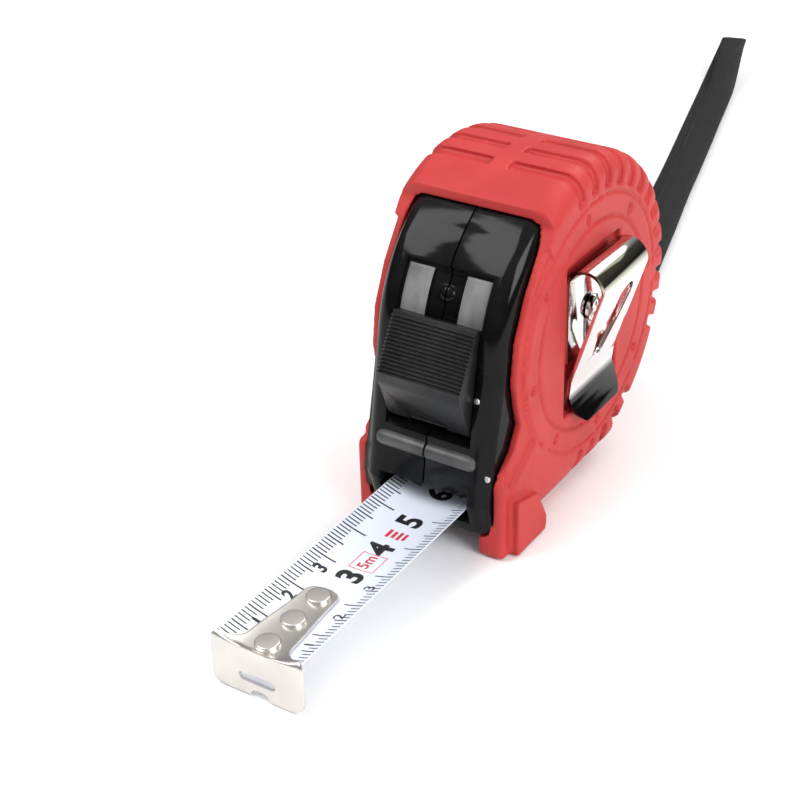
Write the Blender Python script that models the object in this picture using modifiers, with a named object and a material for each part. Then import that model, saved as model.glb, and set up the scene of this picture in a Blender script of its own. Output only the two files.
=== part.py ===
"""Pocket tape measure: a two-half case in a rubber jacket, with its blade partly drawn out.

Metres, +Z up. The blade leaves the mouth towards -Y, the belt clip is on the +X side.
The origin lies on the surface that the case stands on, straight below the drum's axis.
"""

import math

import bmesh
import bpy
from mathutils import Matrix, Vector

# ---- driving dimensions -------------------------------------------------
GAP = 0.0003  # clearance between pieces that touch
RUNNING_GAP = 0.0004  # clearance round a piece that turns

STAND_CLEARANCE = 0.0025  # from the ground to the jacket's round
CASE_RADIUS = 0.0322
CASE_SIDE_ROOM = 0.0052  # from the blade's edges to the sides of the case
CASE_WALL = 0.0018
CASE_EDGE_RADIUS = 0.0035
NOSE_OVERHANG = 0.0050  # of the nose past the case's round
NOSE_TOP_Z = 0.0226
NOSE_TIP_Z = 0.0126
LIP_Z = 0.0048  # underside of the lip below the blade

JACKET_WALL = 0.0020
JACKET_SIDE_WALL = 0.0025
JACKET_EDGE_RADIUS = 0.0045
JACKET_KEEL_RADIUS = 0.0095  # rounding of the two long edges underneath
FOOT_SETBACK = 0.0022  # of the feet from the front of the nose
FOOT_BACK = 0.0180
FOOT_OVERLAP = 0.0029  # of the feet under each side of the case
FOOT_HEIGHT = 0.0185

BLADE_CHORD = 0.0184  # edge to edge, across the curved section
BLADE_SAG = 0.0019
BLADE_THICKNESS = 0.00025
BLADE_Z = 0.0088  # underside of the blade along its middle
BLADE_OUT = 0.0566  # drawn out of the mouth
BLADE_INSIDE = 0.006  # hidden behind the mouth
MOUTH_SETBACK = 0.0022  # of the mouth from the front of the nose
MOUTH_SIDE_CLEARANCE = 0.0009
MOUTH_TOP_CLEARANCE = 0.0027
MOUTH_FLOOR_CLEARANCE = 0.0012

HOOK_HALF_WIDTH = 0.0099
HOOK_THICKNESS = 0.0009
HOOK_TOP_Z = 0.0118
HOOK_BOTTOM_Z = 0.0003
NAIL_SLOT_HALF_WIDTH = 0.0040
NAIL_SLOT_HEIGHT = 0.0019
NAIL_SLOT_FOOT = 0.0029  # from the lower edge of the plate
TONGUE_LENGTH = 0.0221
TONGUE_THICKNESS = 0.0006
TONGUE_HALF_WIDTH = 0.0047
TONGUE_END_HALF_WIDTH = 0.0036
RIVET_PLACES = (0.0036, 0.0113, 0.0191)  # from the hook's inner face
RIVET_HEAD_RADIUS = 0.0024
RIVET_HEAD_HEIGHT = 0.0010
RIVET_RADIUS = 0.0011
HOOK_PLAY = 0.0009  # the hook's travel on its rivets

SPOOL_CLEARANCE = 0.0064  # from the spool's flanges to the cavity's round
SPOOL_DRUM_RADIUS = 0.0142
SPOOL_WALL = 0.0012
FLANGE_THICKNESS = 0.0010
COIL_SIDE_CLEARANCE = 0.0003  # beyond each edge of the blade
COIL_SETBACK = 0.0025  # of the coil from the rim of the flanges
POST_RADIUS = 0.0025
SPRING_SETBACK = 0.00125  # of the spring's edges from the coil's
SPRING_TURNS = 5
SPRING_STRIP = 0.0004

SLIDER_HALF_WIDTH = 0.0092
SLIDER_TOP_ANGLE = math.radians(161)
SLIDER_THUMB_ANGLE = math.radians(181)
SLIDER_FOOT_ANGLE = math.radians(197)
SLIDER_THUMB_HEIGHT = 0.0063  # of the crown above the case's round
SLIDER_TRAVEL = math.radians(14)
RECESS_DEPTH = 0.0010
RECESS_TOP_ANGLE = math.radians(143)
NECK_ANGLE = math.radians(188)
NECK_HALF_ANGLE = math.radians(2.6)
NECK_HALF_WIDTH = 0.0028
BRAKE_CLEARANCE = 0.0010  # from the brake to the cavity's round
BRAKE_THICKNESS = 0.0014
BRAKE_HALF_WIDTH = 0.0060
BRAKE_TOP_ANGLE = math.radians(178)
BRAKE_END_ANGLE = math.radians(245)

CLIP_WIDTH = 0.0184
CLIP_MIDDLE_Y = -0.0004
CLIP_THICKNESS = 0.0008
CLIP_STAND_OFF = 0.0038  # radius of the clip's top bend
CLIP_TOP_Z = 0.0493  # middle of the bend
CLIP_LEAF_LENGTH = 0.0170
CLIP_TOUCH_Z = 0.0262  # where the plate comes back to the jacket
CLIP_LIP_Z = 0.0188
CLIP_LIP_OUT = 0.0034
POCKET_MARGIN = 0.0018
POCKET_FOOT = 0.0020  # the pocket ends this far above the clip's lip
POCKET_FLOOR = 0.0009  # rubber left under the clip's leaf
CLIP_SCREW_Z = 0.0410
CLIP_SCREW_RADIUS = 0.0012
CLIP_SCREW_HEAD_RADIUS = 0.0028

CASE_SCREW_HEAD_RADIUS = 0.0018
CASE_SCREW_HEAD_HEIGHT = 0.0010
CASE_SCREW_RADIUS = 0.0009
BOSS_RADIUS = 0.0024
BOSS_CLEARANCE = 0.0004  # from the bosses to the cavity's round
BOSS_ANGLES = (math.radians(128), math.radians(52), math.radians(-16))
NOSE_BOSS_SETBACK = 0.0050  # from the front of the nose
NOSE_BOSS_Z = 0.0182

STRAP_WIDTH = 0.0078
STRAP_THICKNESS = 0.0012
STRAP_PIN_RADIUS = 0.0010
STRAP_ANGLE = math.radians(-40)  # of the strap's opening, about the drum's axis
STRAP_PIN_DEPTH = 0.0040  # of the pin's axis below the case's round
STRAP_POCKET_HALF_WIDTH = 0.0052
STRAP_SIDE_STEP = 0.0033  # the returning leg lies this far to one side of the other, and on top of it
STRAP_LOOP_RADIUS = 0.0040

SMOOTH_STEPS = 96  # points round a case or jacket outline
ROUND_STEPS = 48
SMALL_ROUND_STEPS = 20
OVERCUT = 0.002  # how far a cutter runs past what it cuts

# ---- sizes that follow --------------------------------------------------
BLADE_HALF_CHORD = BLADE_CHORD / 2
CASE_HALF_WIDTH = BLADE_HALF_CHORD + CASE_SIDE_ROOM
JACKET_INNER_RADIUS = CASE_RADIUS + GAP
JACKET_RADIUS = JACKET_INNER_RADIUS + JACKET_WALL
JACKET_INNER_HALF_WIDTH = CASE_HALF_WIDTH + GAP
JACKET_HALF_WIDTH = JACKET_INNER_HALF_WIDTH + JACKET_SIDE_WALL
CAVITY_RADIUS = CASE_RADIUS - CASE_WALL
CAVITY_HALF_WIDTH = CASE_HALF_WIDTH - CASE_WALL
FOOT_INNER_X = CASE_HALF_WIDTH - FOOT_OVERLAP
AXIS_Z = JACKET_RADIUS + STAND_CLEARANCE  # height of the drum's axis
NOSE_REACH = CASE_RADIUS + NOSE_OVERHANG  # from the drum's axis
FOOT_FRONT = NOSE_REACH - FOOT_SETBACK
MOUTH_REACH = NOSE_REACH - MOUTH_SETBACK
BLADE_EDGE_Z = BLADE_Z + BLADE_SAG
MOUTH_HALF_WIDTH = BLADE_HALF_CHORD + MOUTH_SIDE_CLEARANCE
MOUTH_TOP_Z = BLADE_EDGE_Z + MOUTH_TOP_CLEARANCE
MOUTH_FLOOR_Z = BLADE_Z - MOUTH_FLOOR_CLEARANCE
SPOOL_FLANGE_RADIUS = CAVITY_RADIUS - SPOOL_CLEARANCE
COIL_WIDTH = BLADE_CHORD + 2 * COIL_SIDE_CLEARANCE
COIL_RADIUS = SPOOL_FLANGE_RADIUS - COIL_SETBACK
SPRING_WIDTH = COIL_WIDTH - 2 * SPRING_SETBACK
SLIDER_THUMB_RADIUS = CASE_RADIUS + SLIDER_THUMB_HEIGHT
BRAKE_RADIUS = CAVITY_RADIUS - BRAKE_CLEARANCE
BOSS_CIRCLE = CAVITY_RADIUS - BOSS_RADIUS - BOSS_CLEARANCE
NOSE_BOSS = (-(NOSE_REACH - NOSE_BOSS_SETBACK), NOSE_BOSS_Z)
STRAP_PIN_CIRCLE = CASE_RADIUS - STRAP_PIN_DEPTH
HOOK_Y = -(MOUTH_REACH + BLADE_OUT)
BLADE_INNER_Y = -MOUTH_REACH + BLADE_INSIDE
STRAP_BEND = STRAP_PIN_RADIUS + GAP + STRAP_THICKNESS / 2  # of the strap round its pin
CLIP_LEAF_X = JACKET_INNER_HALF_WIDTH + POCKET_FLOOR + GAP
STRAP_PIN_PLACE = (STRAP_PIN_CIRCLE * math.cos(STRAP_ANGLE), AXIS_Z + STRAP_PIN_CIRCLE * math.sin(STRAP_ANGLE))


# ---- helpers ------------------------------------------------------------
def clear_scene():
    for obj in list(bpy.data.objects):
        bpy.data.objects.remove(obj, do_unlink=True)


def make_collection(name):
    found = bpy.data.collections.new(name)
    bpy.context.scene.collection.children.link(found)
    return found


def make_material(name, colour, roughness, metallic=0.0):
    material = bpy.data.materials.new(name)
    material.use_nodes = True
    shader = material.node_tree.nodes["Principled BSDF"]
    shader.inputs["Base Color"].default_value = (*colour, 1.0)
    shader.inputs["Roughness"].default_value = roughness
    shader.inputs["Metallic"].default_value = metallic
    return material


def object_from(name, bm):
    bmesh.ops.recalc_face_normals(bm, faces=bm.faces[:])
    mesh = bpy.data.meshes.new(name)
    bm.to_mesh(mesh)
    bm.free()
    mesh.shade_smooth()
    mesh.set_sharp_from_angle(angle=math.radians(35))
    return bpy.data.objects.new(name, mesh)


def piece(obj, material):
    """A finished sub-part, in the object's own collection."""
    PARTS.objects.link(obj)
    obj.data.materials.clear()
    obj.data.materials.append(material)
    return obj


def cut(obj, cutter):
    use_boolean(obj, cutter, "DIFFERENCE")


def join(obj, other):
    use_boolean(obj, other, "UNION")


def keep_inside(obj, other):
    use_boolean(obj, other, "INTERSECT")


def use_boolean(obj, other, operation):
    if other.name not in CUTTERS.objects:
        CUTTERS.objects.link(other)
        other.hide_render = True
        other.display_type = "WIRE"
    boolean = obj.modifiers.new(f"{operation.lower()}_{other.name}", "BOOLEAN")
    boolean.operation = operation
    boolean.solver = "EXACT"
    boolean.object = other


def loft(name, rings, closed=False):
    """A body through rings that have the same number of points, capped, or joined end to end."""
    bm = bmesh.new()
    rows = [[bm.verts.new(point) for point in ring] for ring in rings]
    for low, high in zip(rows, rows[1:] + (rows[:1] if closed else [])):
        for i in range(len(low)):
            j = (i + 1) % len(low)
            bm.faces.new((low[i], low[j], high[j], high[i]))
    if not closed:
        bm.faces.new(list(reversed(rows[0])))
        bm.faces.new(rows[-1])
    return object_from(name, bm)


def outline_round(discs, inset=0.0, steps=SMOOTH_STEPS):
    """The (y, z) outline drawn tight round discs given as (y, z, radius)."""
    points = []
    for step in range(steps):
        angle = 2 * math.pi * (step + 0.5) / steps
        along = (math.cos(angle), math.sin(angle))
        y, z, radius = max(discs, key=lambda disc: disc[0] * along[0] + disc[1] * along[1] + disc[2])
        reach = max(radius - inset, 0.0002)
        points.append((y + reach * along[0], z + reach * along[1]))
    return points


def slab(name, discs, x_low, x_high, low_edge=0.0, high_edge=0.0, edge_steps=4):
    """A body with an outline round discs, between two x planes, with rounded rims."""
    turns = [math.pi / 2 * step / edge_steps for step in range(edge_steps + 1)]
    stations = [(x_low, 0.0)]
    if low_edge:
        stations = [(x_low + low_edge * (1 - math.sin(t)), low_edge * (1 - math.cos(t)))
                    for t in reversed(turns)]
    if high_edge:
        stations += [(x_high - high_edge * (1 - math.sin(t)), high_edge * (1 - math.cos(t)))
                     for t in turns]
    else:
        stations.append((x_high, 0.0))
    rings = [[(x, y, z) for y, z in outline_round(discs, inset)] for x, inset in stations]
    return loft(name, rings)


def prism(name, outline, x_low, x_high):
    """A (y, z) outline drawn out between two x planes."""
    bm = bmesh.new()
    face = bm.faces.new([bm.verts.new((x_low, y, z)) for y, z in outline])
    drawn = bmesh.ops.extrude_face_region(bm, geom=[face], use_keep_orig=True)["geom"]
    ends = [item for item in drawn if isinstance(item, bmesh.types.BMVert)]
    bmesh.ops.translate(bm, verts=ends, vec=(x_high - x_low, 0, 0))
    return object_from(name, bm)


def box(name, low, high):
    bm = bmesh.new()
    bmesh.ops.create_cube(bm, size=1.0)
    middle = [(a + b) / 2 for a, b in zip(low, high)]
    for vert in bm.verts:
        vert.co = Vector([m + c * (b - a) for m, c, a, b in zip(middle, vert.co, low, high)])
    return object_from(name, bm)


def turned(name, profile, y, z, steps=ROUND_STEPS):
    """A body turned about an axis along X at (y, z). The profile is (x, radius), from end to end."""
    bm = bmesh.new()
    ends = [(profile[0][0], 0.0), *profile, (profile[-1][0], 0.0)]
    line = [bm.verts.new((x, 0.0, radius)) for x, radius in reversed(ends)]
    for pair in zip(line, line[1:]):
        bm.edges.new(pair)
    obj = object_from(name, bm)
    obj.location = (0.0, y, z)
    screw = obj.modifiers.new("turn", "SCREW")
    screw.axis = "X"
    screw.steps = screw.render_steps = steps
    screw.use_merge_vertices = True
    screw.merge_threshold = 0.00001
    return obj


def bar(name, x_low, x_high, radius, y, z, steps=SMALL_ROUND_STEPS):
    """A round bar along X."""
    bm = bmesh.new()
    bmesh.ops.create_cone(bm, cap_ends=True, segments=steps, radius1=radius, radius2=radius,
                          depth=x_high - x_low)
    place = Matrix.Translation(((x_low + x_high) / 2, y, z)) @ Matrix.Rotation(math.pi / 2, 4, "Y")
    bmesh.ops.transform(bm, matrix=place, verts=bm.verts[:])
    return object_from(name, bm)


def turned_over(obj, side):
    """The same shape on the other side of the middle plane when side is -1."""
    if side < 0:
        obj.data.transform(Matrix.Scale(-1, 4, (1, 0, 0)))
        obj.data.flip_normals()
    return obj


def pivoted(obj):
    """The same body with its origin on the drum's axis, which it turns about."""
    obj.data.transform(Matrix.Translation((0, 0, -AXIS_Z)))
    obj.location = (0, 0, AXIS_Z)
    return obj


def polar(radius, angle):
    """(y, z) at a distance and an angle from the drum's axis; 180 degrees is straight ahead."""
    return radius * math.cos(angle), AXIS_Z + radius * math.sin(angle)


def sector(name, inner, outer, start, end, half_width, steps=14):
    """A ring's sector about the drum's axis, across the middle."""
    turns = [start + (end - start) * s / steps for s in range(steps + 1)]
    outline = [polar(inner, t) for t in turns] + [polar(outer, t) for t in reversed(turns)]
    return prism(name, outline, -half_width, half_width)


# ---- case ---------------------------------------------------------------
def case_discs(grow=0.0):
    """The discs whose common outline is the case's side view."""
    return [
        (0.0, AXIS_Z, CASE_RADIUS + grow),
        (-(NOSE_REACH - 0.0036), NOSE_TOP_Z - 0.0016, 0.0016 + grow),
        (-(NOSE_REACH - 0.0014), NOSE_TIP_Z, 0.0014 + grow),
        (-(NOSE_REACH - 0.0030), LIP_Z + 0.0014, 0.0014 + grow),
    ]


def cavity_discs():
    return [
        (0.0, AXIS_Z, CAVITY_RADIUS),
        (-(NOSE_REACH - 0.0065), NOSE_TOP_Z - 0.0032, 0.0012),
        (-(NOSE_REACH - 0.0065), MOUTH_FLOOR_Z + 0.0012, 0.0012),
    ]


def boss_places():
    return [polar(BOSS_CIRCLE, angle) for angle in BOSS_ANGLES] + [NOSE_BOSS]


def strap_ear_discs():
    y, z = STRAP_PIN_PLACE
    wall_y, wall_z = polar(CASE_RADIUS - CASE_WALL / 2 - 0.0006, STRAP_ANGLE)
    return [(y, z, STRAP_PIN_RADIUS + 0.0014), (wall_y, wall_z, 0.0012)]


def make_case_half(name, side):
    """Half of the case: +1 is the clip's side, which holds the screws' heads."""
    inner_x = GAP / 2
    shell = turned_over(slab(name, case_discs(), inner_x, CASE_HALF_WIDTH, high_edge=CASE_EDGE_RADIUS), side)
    pin_y, pin_z = STRAP_PIN_PLACE
    ear_x = STRAP_POCKET_HALF_WIDTH
    bosses = [bar(f"{name}_boss{number}", GAP, CAVITY_HALF_WIDTH + CASE_WALL / 2, BOSS_RADIUS, y, z)
              for number, (y, z) in enumerate(boss_places())]
    ear = slab(f"{name}_ear", strap_ear_discs(), ear_x - 0.0006, ear_x + 0.0026)
    cutters = [
        box(f"{name}_mouth", (-OVERCUT, -NOSE_REACH - OVERCUT, MOUTH_FLOOR_Z),
            (MOUTH_HALF_WIDTH, -MOUTH_REACH + 0.010, MOUTH_TOP_Z)),
        sector(f"{name}_recess", CASE_RADIUS - RECESS_DEPTH, CASE_RADIUS + 0.006, RECESS_TOP_ANGLE,
               SLIDER_FOOT_ANGLE + math.radians(3), SLIDER_HALF_WIDTH + RUNNING_GAP),
        sector(f"{name}_slot", BRAKE_RADIUS, CASE_RADIUS + 0.004,
               NECK_ANGLE - NECK_HALF_ANGLE - SLIDER_TRAVEL - math.radians(1),
               NECK_ANGLE + NECK_HALF_ANGLE + math.radians(1), NECK_HALF_WIDTH + RUNNING_GAP),
        strap_pocket(f"{name}_strap_pocket"),
        bar(f"{name}_pin_hole", -OVERCUT, ear_x + 0.0018, STRAP_PIN_RADIUS + GAP, pin_y, pin_z),
    ]
    for number, (y, z) in enumerate(boss_places()):
        depth = CASE_HALF_WIDTH + OVERCUT if side > 0 else CAVITY_HALF_WIDTH - 0.001
        cutters.append(bar(f"{name}_bore{number}", -OVERCUT, depth, CASE_SCREW_RADIUS + GAP, y, z))
        if side > 0:
            cutters.append(bar(f"{name}_seat{number}", screw_head_x() - GAP, CASE_HALF_WIDTH + OVERCUT,
                               CASE_SCREW_HEAD_RADIUS + GAP, y, z))
    if side > 0:
        cutters.append(bar(f"{name}_clip_bore", CAVITY_HALF_WIDTH - OVERCUT, CASE_HALF_WIDTH + OVERCUT,
                           CLIP_SCREW_RADIUS + GAP, CLIP_MIDDLE_Y, CLIP_SCREW_Z))
    hollow = slab(f"{name}_hollow", cavity_discs(), inner_x - OVERCUT, CAVITY_HALF_WIDTH)
    cut(shell, turned_over(hollow, side))
    for shape in bosses + [ear]:
        join(shell, turned_over(shape, side))
    for shape in cutters:
        cut(shell, turned_over(shape, side))
    return shell


def screw_head_x():
    """Inner face of the case screws' heads."""
    return CASE_HALF_WIDTH - CASE_SCREW_HEAD_HEIGHT - 2 * GAP


def strap_pocket(name):
    """The opening at the lower back that the strap comes out of."""
    y, z = STRAP_PIN_PLACE
    reach = STRAP_BEND + STRAP_THICKNESS / 2 + 2 * GAP
    away = Vector((math.cos(STRAP_ANGLE), math.sin(STRAP_ANGLE))) * 0.012
    return slab(name, [(y, z, reach), (y + away.x, z + away.y, reach)],
                -STRAP_POCKET_HALF_WIDTH, STRAP_POCKET_HALF_WIDTH)


# ---- jacket -------------------------------------------------------------
def jacket_discs():
    return [
        (0.0, AXIS_Z, JACKET_RADIUS),
        (-(FOOT_FRONT - 0.0046), 0.0068, 0.0036),
        (-(FOOT_FRONT - 0.0050), FOOT_HEIGHT - 0.0060, 0.0036),
        (-0.0120, 0.0040, 0.0040),
        (0.0060, 0.0040, 0.0040),
    ]


def window_outline():
    """Side view of what is cut away in front: the lip over the case, then down to the feet."""
    edge = [polar(CASE_RADIUS + 0.012, math.radians(114)), polar(CASE_RADIUS - 0.0006, math.radians(121)),
            polar(CASE_RADIUS - 0.0025, math.radians(131)), polar(CASE_RADIUS - 0.0032, math.radians(146)),
            polar(CASE_RADIUS - 0.0032, math.radians(164)), polar(CASE_RADIUS - 0.0032, math.radians(180)),
            polar(CASE_RADIUS - 0.0036, math.radians(192)), polar(CASE_RADIUS - 0.0036, math.radians(200)),
            (-(FOOT_FRONT - 0.0055), FOOT_HEIGHT + 0.0040)]
    front = -(FOOT_FRONT + 0.010)
    return edge + [(-(FOOT_FRONT - 0.0005), FOOT_HEIGHT), (front, FOOT_HEIGHT), (front, AXIS_Z * 2)]


def keel_section(name):
    """A long bar along Y whose two lower edges are well rounded: the jacket's section seen from in front."""
    half, low, high = JACKET_HALF_WIDTH, 0.0, AXIS_Z + JACKET_RADIUS + OVERCUT
    radius = JACKET_KEEL_RADIUS
    turns = [math.pi / 2 * s / 8 for s in range(9)]
    right = [(half - radius + radius * math.sin(t), low + radius - radius * math.cos(t)) for t in turns]
    outline = right + [(half + OVERCUT, low + radius + OVERCUT), (half + OVERCUT, high)]
    outline += [(-x, z) for x, z in reversed(outline)]
    reach = JACKET_RADIUS + 2 * OVERCUT
    return loft(name, [[(x, y, z) for x, z in outline] for y in (-reach, reach)])


def make_jacket():
    jacket = slab("rubber_jacket", jacket_discs(), -JACKET_HALF_WIDTH, JACKET_HALF_WIDTH,
                  JACKET_EDGE_RADIUS, JACKET_EDGE_RADIUS)
    keep_inside(jacket, keel_section("jacket_keel"))
    for side in (-1, 1):
        foot = slab(f"jacket_foot{side}", foot_discs(), FOOT_INNER_X, JACKET_HALF_WIDTH - 0.0004,
                    high_edge=0.0012, edge_steps=3)
        join(jacket, turned_over(foot, side))
    cut(jacket, slab("jacket_hollow", case_discs(GAP), -JACKET_INNER_HALF_WIDTH,
                     JACKET_INNER_HALF_WIDTH, CASE_EDGE_RADIUS, CASE_EDGE_RADIUS))
    cut(jacket, prism("jacket_window", window_outline(), -JACKET_HALF_WIDTH - OVERCUT,
                      JACKET_HALF_WIDTH + OVERCUT))
    chin = FOOT_INNER_X - 0.0003
    cut(jacket, box("jacket_chin", (-chin, -FOOT_FRONT - OVERCUT, -OVERCUT),
                    (chin, -FOOT_BACK - 0.006, LIP_Z + OVERCUT)))
    cut(jacket, strap_pocket("jacket_strap_pocket"))
    half = CLIP_WIDTH / 2 + POCKET_MARGIN
    cut(jacket, box("jacket_clip_pocket", (JACKET_INNER_HALF_WIDTH + POCKET_FLOOR, CLIP_MIDDLE_Y - half,
                                           CLIP_LIP_Z + POCKET_FOOT),
                    (JACKET_HALF_WIDTH + OVERCUT, CLIP_MIDDLE_Y + half, CLIP_TOP_Z + 0.0044)))
    cut(jacket, bar("jacket_clip_bore", JACKET_INNER_HALF_WIDTH - OVERCUT,
                            JACKET_HALF_WIDTH, CLIP_SCREW_RADIUS + GAP, CLIP_MIDDLE_Y, CLIP_SCREW_Z))
    return jacket


def foot_discs():
    return [
        (-(FOOT_FRONT - 0.0016), 0.0016, 0.0016),
        (-(FOOT_FRONT - 0.0020), FOOT_HEIGHT - 0.0020, 0.0020),
        (-(FOOT_BACK + 0.0012), 0.0012, 0.0012),
        (-(FOOT_BACK + 0.0050), FOOT_HEIGHT, 0.0020),
    ]


# ---- blade and hook -----------------------------------------------------
def blade_height(x, lift=0.0):
    return BLADE_Z + BLADE_SAG * (x / BLADE_HALF_CHORD) ** 2 + lift


def curved_strip(name, y_values, half_widths, lift, thickness, across=10):
    """A strip with the blade's hollow section. Each y has its own half width."""
    rings = []
    for y, half in zip(y_values, half_widths):
        xs = [half * (2 * s / across - 1) for s in range(across + 1)]
        under = [(x, y, blade_height(x, lift)) for x in xs]
        over = [(x, y, blade_height(x, lift + thickness)) for x in reversed(xs)]
        rings.append(under + over)
    return loft(name, rings)


def rivet_y(place):
    return HOOK_Y + place


def make_blade():
    ys = (HOOK_Y + GAP, (HOOK_Y + BLADE_INNER_Y) / 2, BLADE_INNER_Y)
    blade = curved_strip("blade", ys, [BLADE_HALF_CHORD] * 3, 0.0, BLADE_THICKNESS)
    for number, place in enumerate(RIVET_PLACES):
        cut(blade, upright_disc(f"blade_hole{number}", rivet_y(place), RIVET_RADIUS + GAP,
                                BLADE_Z - OVERCUT, BLADE_EDGE_Z + OVERCUT))
    return blade


def upright_disc(name, y, radius, z_low, z_high, slot=0.0, steps=SMALL_ROUND_STEPS):
    """A round bar along Z in the middle plane; slot draws it out along -Y and +Y by half each."""
    turns = [2 * math.pi * (s + 0.5) / steps for s in range(steps)]
    ring = [(radius * math.cos(t), y + radius * math.sin(t) + math.copysign(slot / 2, math.sin(t)))
            for t in turns]
    return loft(name, [[(x, v, z) for x, v in ring] for z in (z_low, z_high)])


def make_hook():
    lift = BLADE_THICKNESS + GAP
    ends = [0.0, 0.07, 0.12, 0.20, 0.88, 0.95, 1.0]
    wide, waist, narrow = BLADE_HALF_CHORD - 0.0004, TONGUE_HALF_WIDTH, TONGUE_END_HALF_WIDTH
    halves = [wide, wide - 0.0004, (wide + waist) / 2, waist, narrow, narrow - 0.0008, narrow - 0.0024]
    ys = [HOOK_Y - HOOK_THICKNESS / 2 + (TONGUE_LENGTH + HOOK_THICKNESS / 2) * e for e in ends]
    hook = curved_strip("end_hook", ys, halves, lift, TONGUE_THICKNESS)
    half, low, top = HOOK_HALF_WIDTH, HOOK_BOTTOM_Z, HOOK_TOP_Z
    outline = [(-half + 0.0020, low), (-0.0026, low), (-0.0013, low + 0.0012), (0.0013, low + 0.0012),
               (0.0025, low), (half - 0.0020, low), (half - 0.0005, low + 0.0006), (half, low + 0.0022),
               (half, top - 0.0020), (half - 0.0012, top - 0.0004), (half - 0.0026, top),
               (0.0048, blade_height(0.0048, lift + TONGUE_THICKNESS)),
               (0.0, blade_height(0.0, lift + TONGUE_THICKNESS)),
               (-0.0048, blade_height(0.0048, lift + TONGUE_THICKNESS)),
               (-half + 0.0026, top), (-half + 0.0012, top - 0.0004), (-half, top - 0.0020),
               (-half, low + 0.0022), (-half + 0.0005, low + 0.0006)]
    plate = loft("hook_plate", [[(x, y, z) for x, z in outline] for y in (HOOK_Y - HOOK_THICKNESS, HOOK_Y)])
    join(hook, plate)
    cut(hook, box("hook_nail_slot", (-NAIL_SLOT_HALF_WIDTH, HOOK_Y - 2 * OVERCUT, low + NAIL_SLOT_FOOT),
                  (NAIL_SLOT_HALF_WIDTH, HOOK_Y + OVERCUT, low + NAIL_SLOT_FOOT + NAIL_SLOT_HEIGHT)))
    for number, place in enumerate(RIVET_PLACES):
        cut(hook, upright_disc(f"hook_hole{number}", rivet_y(place) + HOOK_PLAY / 2, RIVET_RADIUS + GAP,
                               BLADE_Z - OVERCUT, BLADE_EDGE_Z + 2 * OVERCUT, slot=HOOK_PLAY))
    return hook


def make_rivet(number):
    """A domed rivet standing through the blade and the hook's tongue."""
    place = RIVET_PLACES[number]
    seat = BLADE_Z + BLADE_THICKNESS + TONGUE_THICKNESS + 2 * GAP
    seat += BLADE_SAG * (RIVET_HEAD_RADIUS / BLADE_HALF_CHORD) ** 2
    foot = BLADE_Z - GAP
    profile = [(foot - 0.0003, 0.0012), (foot - 0.0003, 0.0018), (foot, 0.0018), (foot, RIVET_RADIUS),
               (seat, RIVET_RADIUS), (seat, RIVET_HEAD_RADIUS), (seat + 0.0003, RIVET_HEAD_RADIUS)]
    for step in range(1, 4):
        turn = math.pi / 2 * step / 4
        profile.append((seat + 0.0003 + (RIVET_HEAD_HEIGHT - 0.0003) * math.sin(turn),
                        RIVET_HEAD_RADIUS * math.cos(turn)))
    rings = [[(radius * math.cos(t), rivet_y(place) + radius * math.sin(t), z)
              for t in (2 * math.pi * s / SMALL_ROUND_STEPS for s in range(SMALL_ROUND_STEPS))]
             for z, radius in profile]
    return loft(f"hook_rivet_{number + 1}", rings)


# ---- drum and spring ----------------------------------------------------
def flange_inner_x():
    return COIL_WIDTH / 2 + GAP


def make_spool():
    """Drum with its left flange; the spring cover closes it on the right."""
    inner, outer = flange_inner_x(), flange_inner_x() + FLANGE_THICKNESS
    hole = POST_RADIUS + RUNNING_GAP
    spool = turned("spool", [(-outer, SPOOL_FLANGE_RADIUS), (-inner, SPOOL_FLANGE_RADIUS)], 0.0, AXIS_Z)
    join(spool, turned("spool_drum", [(-inner - FLANGE_THICKNESS / 2, SPOOL_DRUM_RADIUS),
                                      (inner - GAP, SPOOL_DRUM_RADIUS)], 0.0, AXIS_Z))
    cut(spool, turned("spool_hollow", [(-inner, SPOOL_DRUM_RADIUS - SPOOL_WALL),
                                       (outer, SPOOL_DRUM_RADIUS - SPOOL_WALL)], 0.0, AXIS_Z))
    cut(spool, bar("spool_hole", -outer - OVERCUT, 0.0, hole, 0.0, AXIS_Z, ROUND_STEPS // 2))
    return spool


def make_spring_cover():
    inner, outer = flange_inner_x(), flange_inner_x() + FLANGE_THICKNESS
    cover = turned("spring_cover", [(inner, SPOOL_FLANGE_RADIUS), (outer, SPOOL_FLANGE_RADIUS)], 0.0, AXIS_Z)
    cut(cover, bar("cover_hole", inner - OVERCUT, outer + OVERCUT, POST_RADIUS + RUNNING_GAP,
                           0.0, AXIS_Z, ROUND_STEPS // 2))
    return cover


def make_coil():
    """The wound-up blade, closed to one ring."""
    half = COIL_WIDTH / 2
    coil = turned("blade_coil", [(-half, COIL_RADIUS), (half, COIL_RADIUS)], 0.0, AXIS_Z)
    cut(coil, turned("coil_hole", [(-half - OVERCUT, SPOOL_DRUM_RADIUS + GAP),
                                   (half + OVERCUT, SPOOL_DRUM_RADIUS + GAP)], 0.0, AXIS_Z))
    return coil


def make_power_spring():
    """A flat strip wound from the post out to the drum."""
    first = POST_RADIUS + 2 * GAP + SPRING_STRIP
    last = SPOOL_DRUM_RADIUS - SPOOL_WALL - GAP - SPRING_STRIP
    steps = SPRING_TURNS * SMALL_ROUND_STEPS
    rings = []
    for step in range(steps + 1):
        turn = 2 * math.pi * SPRING_TURNS * step / steps
        radius = first + (last - first) * step / steps
        low, high = polar(radius, turn), polar(radius + SPRING_STRIP, turn)
        half = SPRING_WIDTH / 2
        rings.append([(-half, *low), (half, *low), (half, *high), (-half, *high)])
    return pivoted(loft("power_spring", rings))


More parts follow.
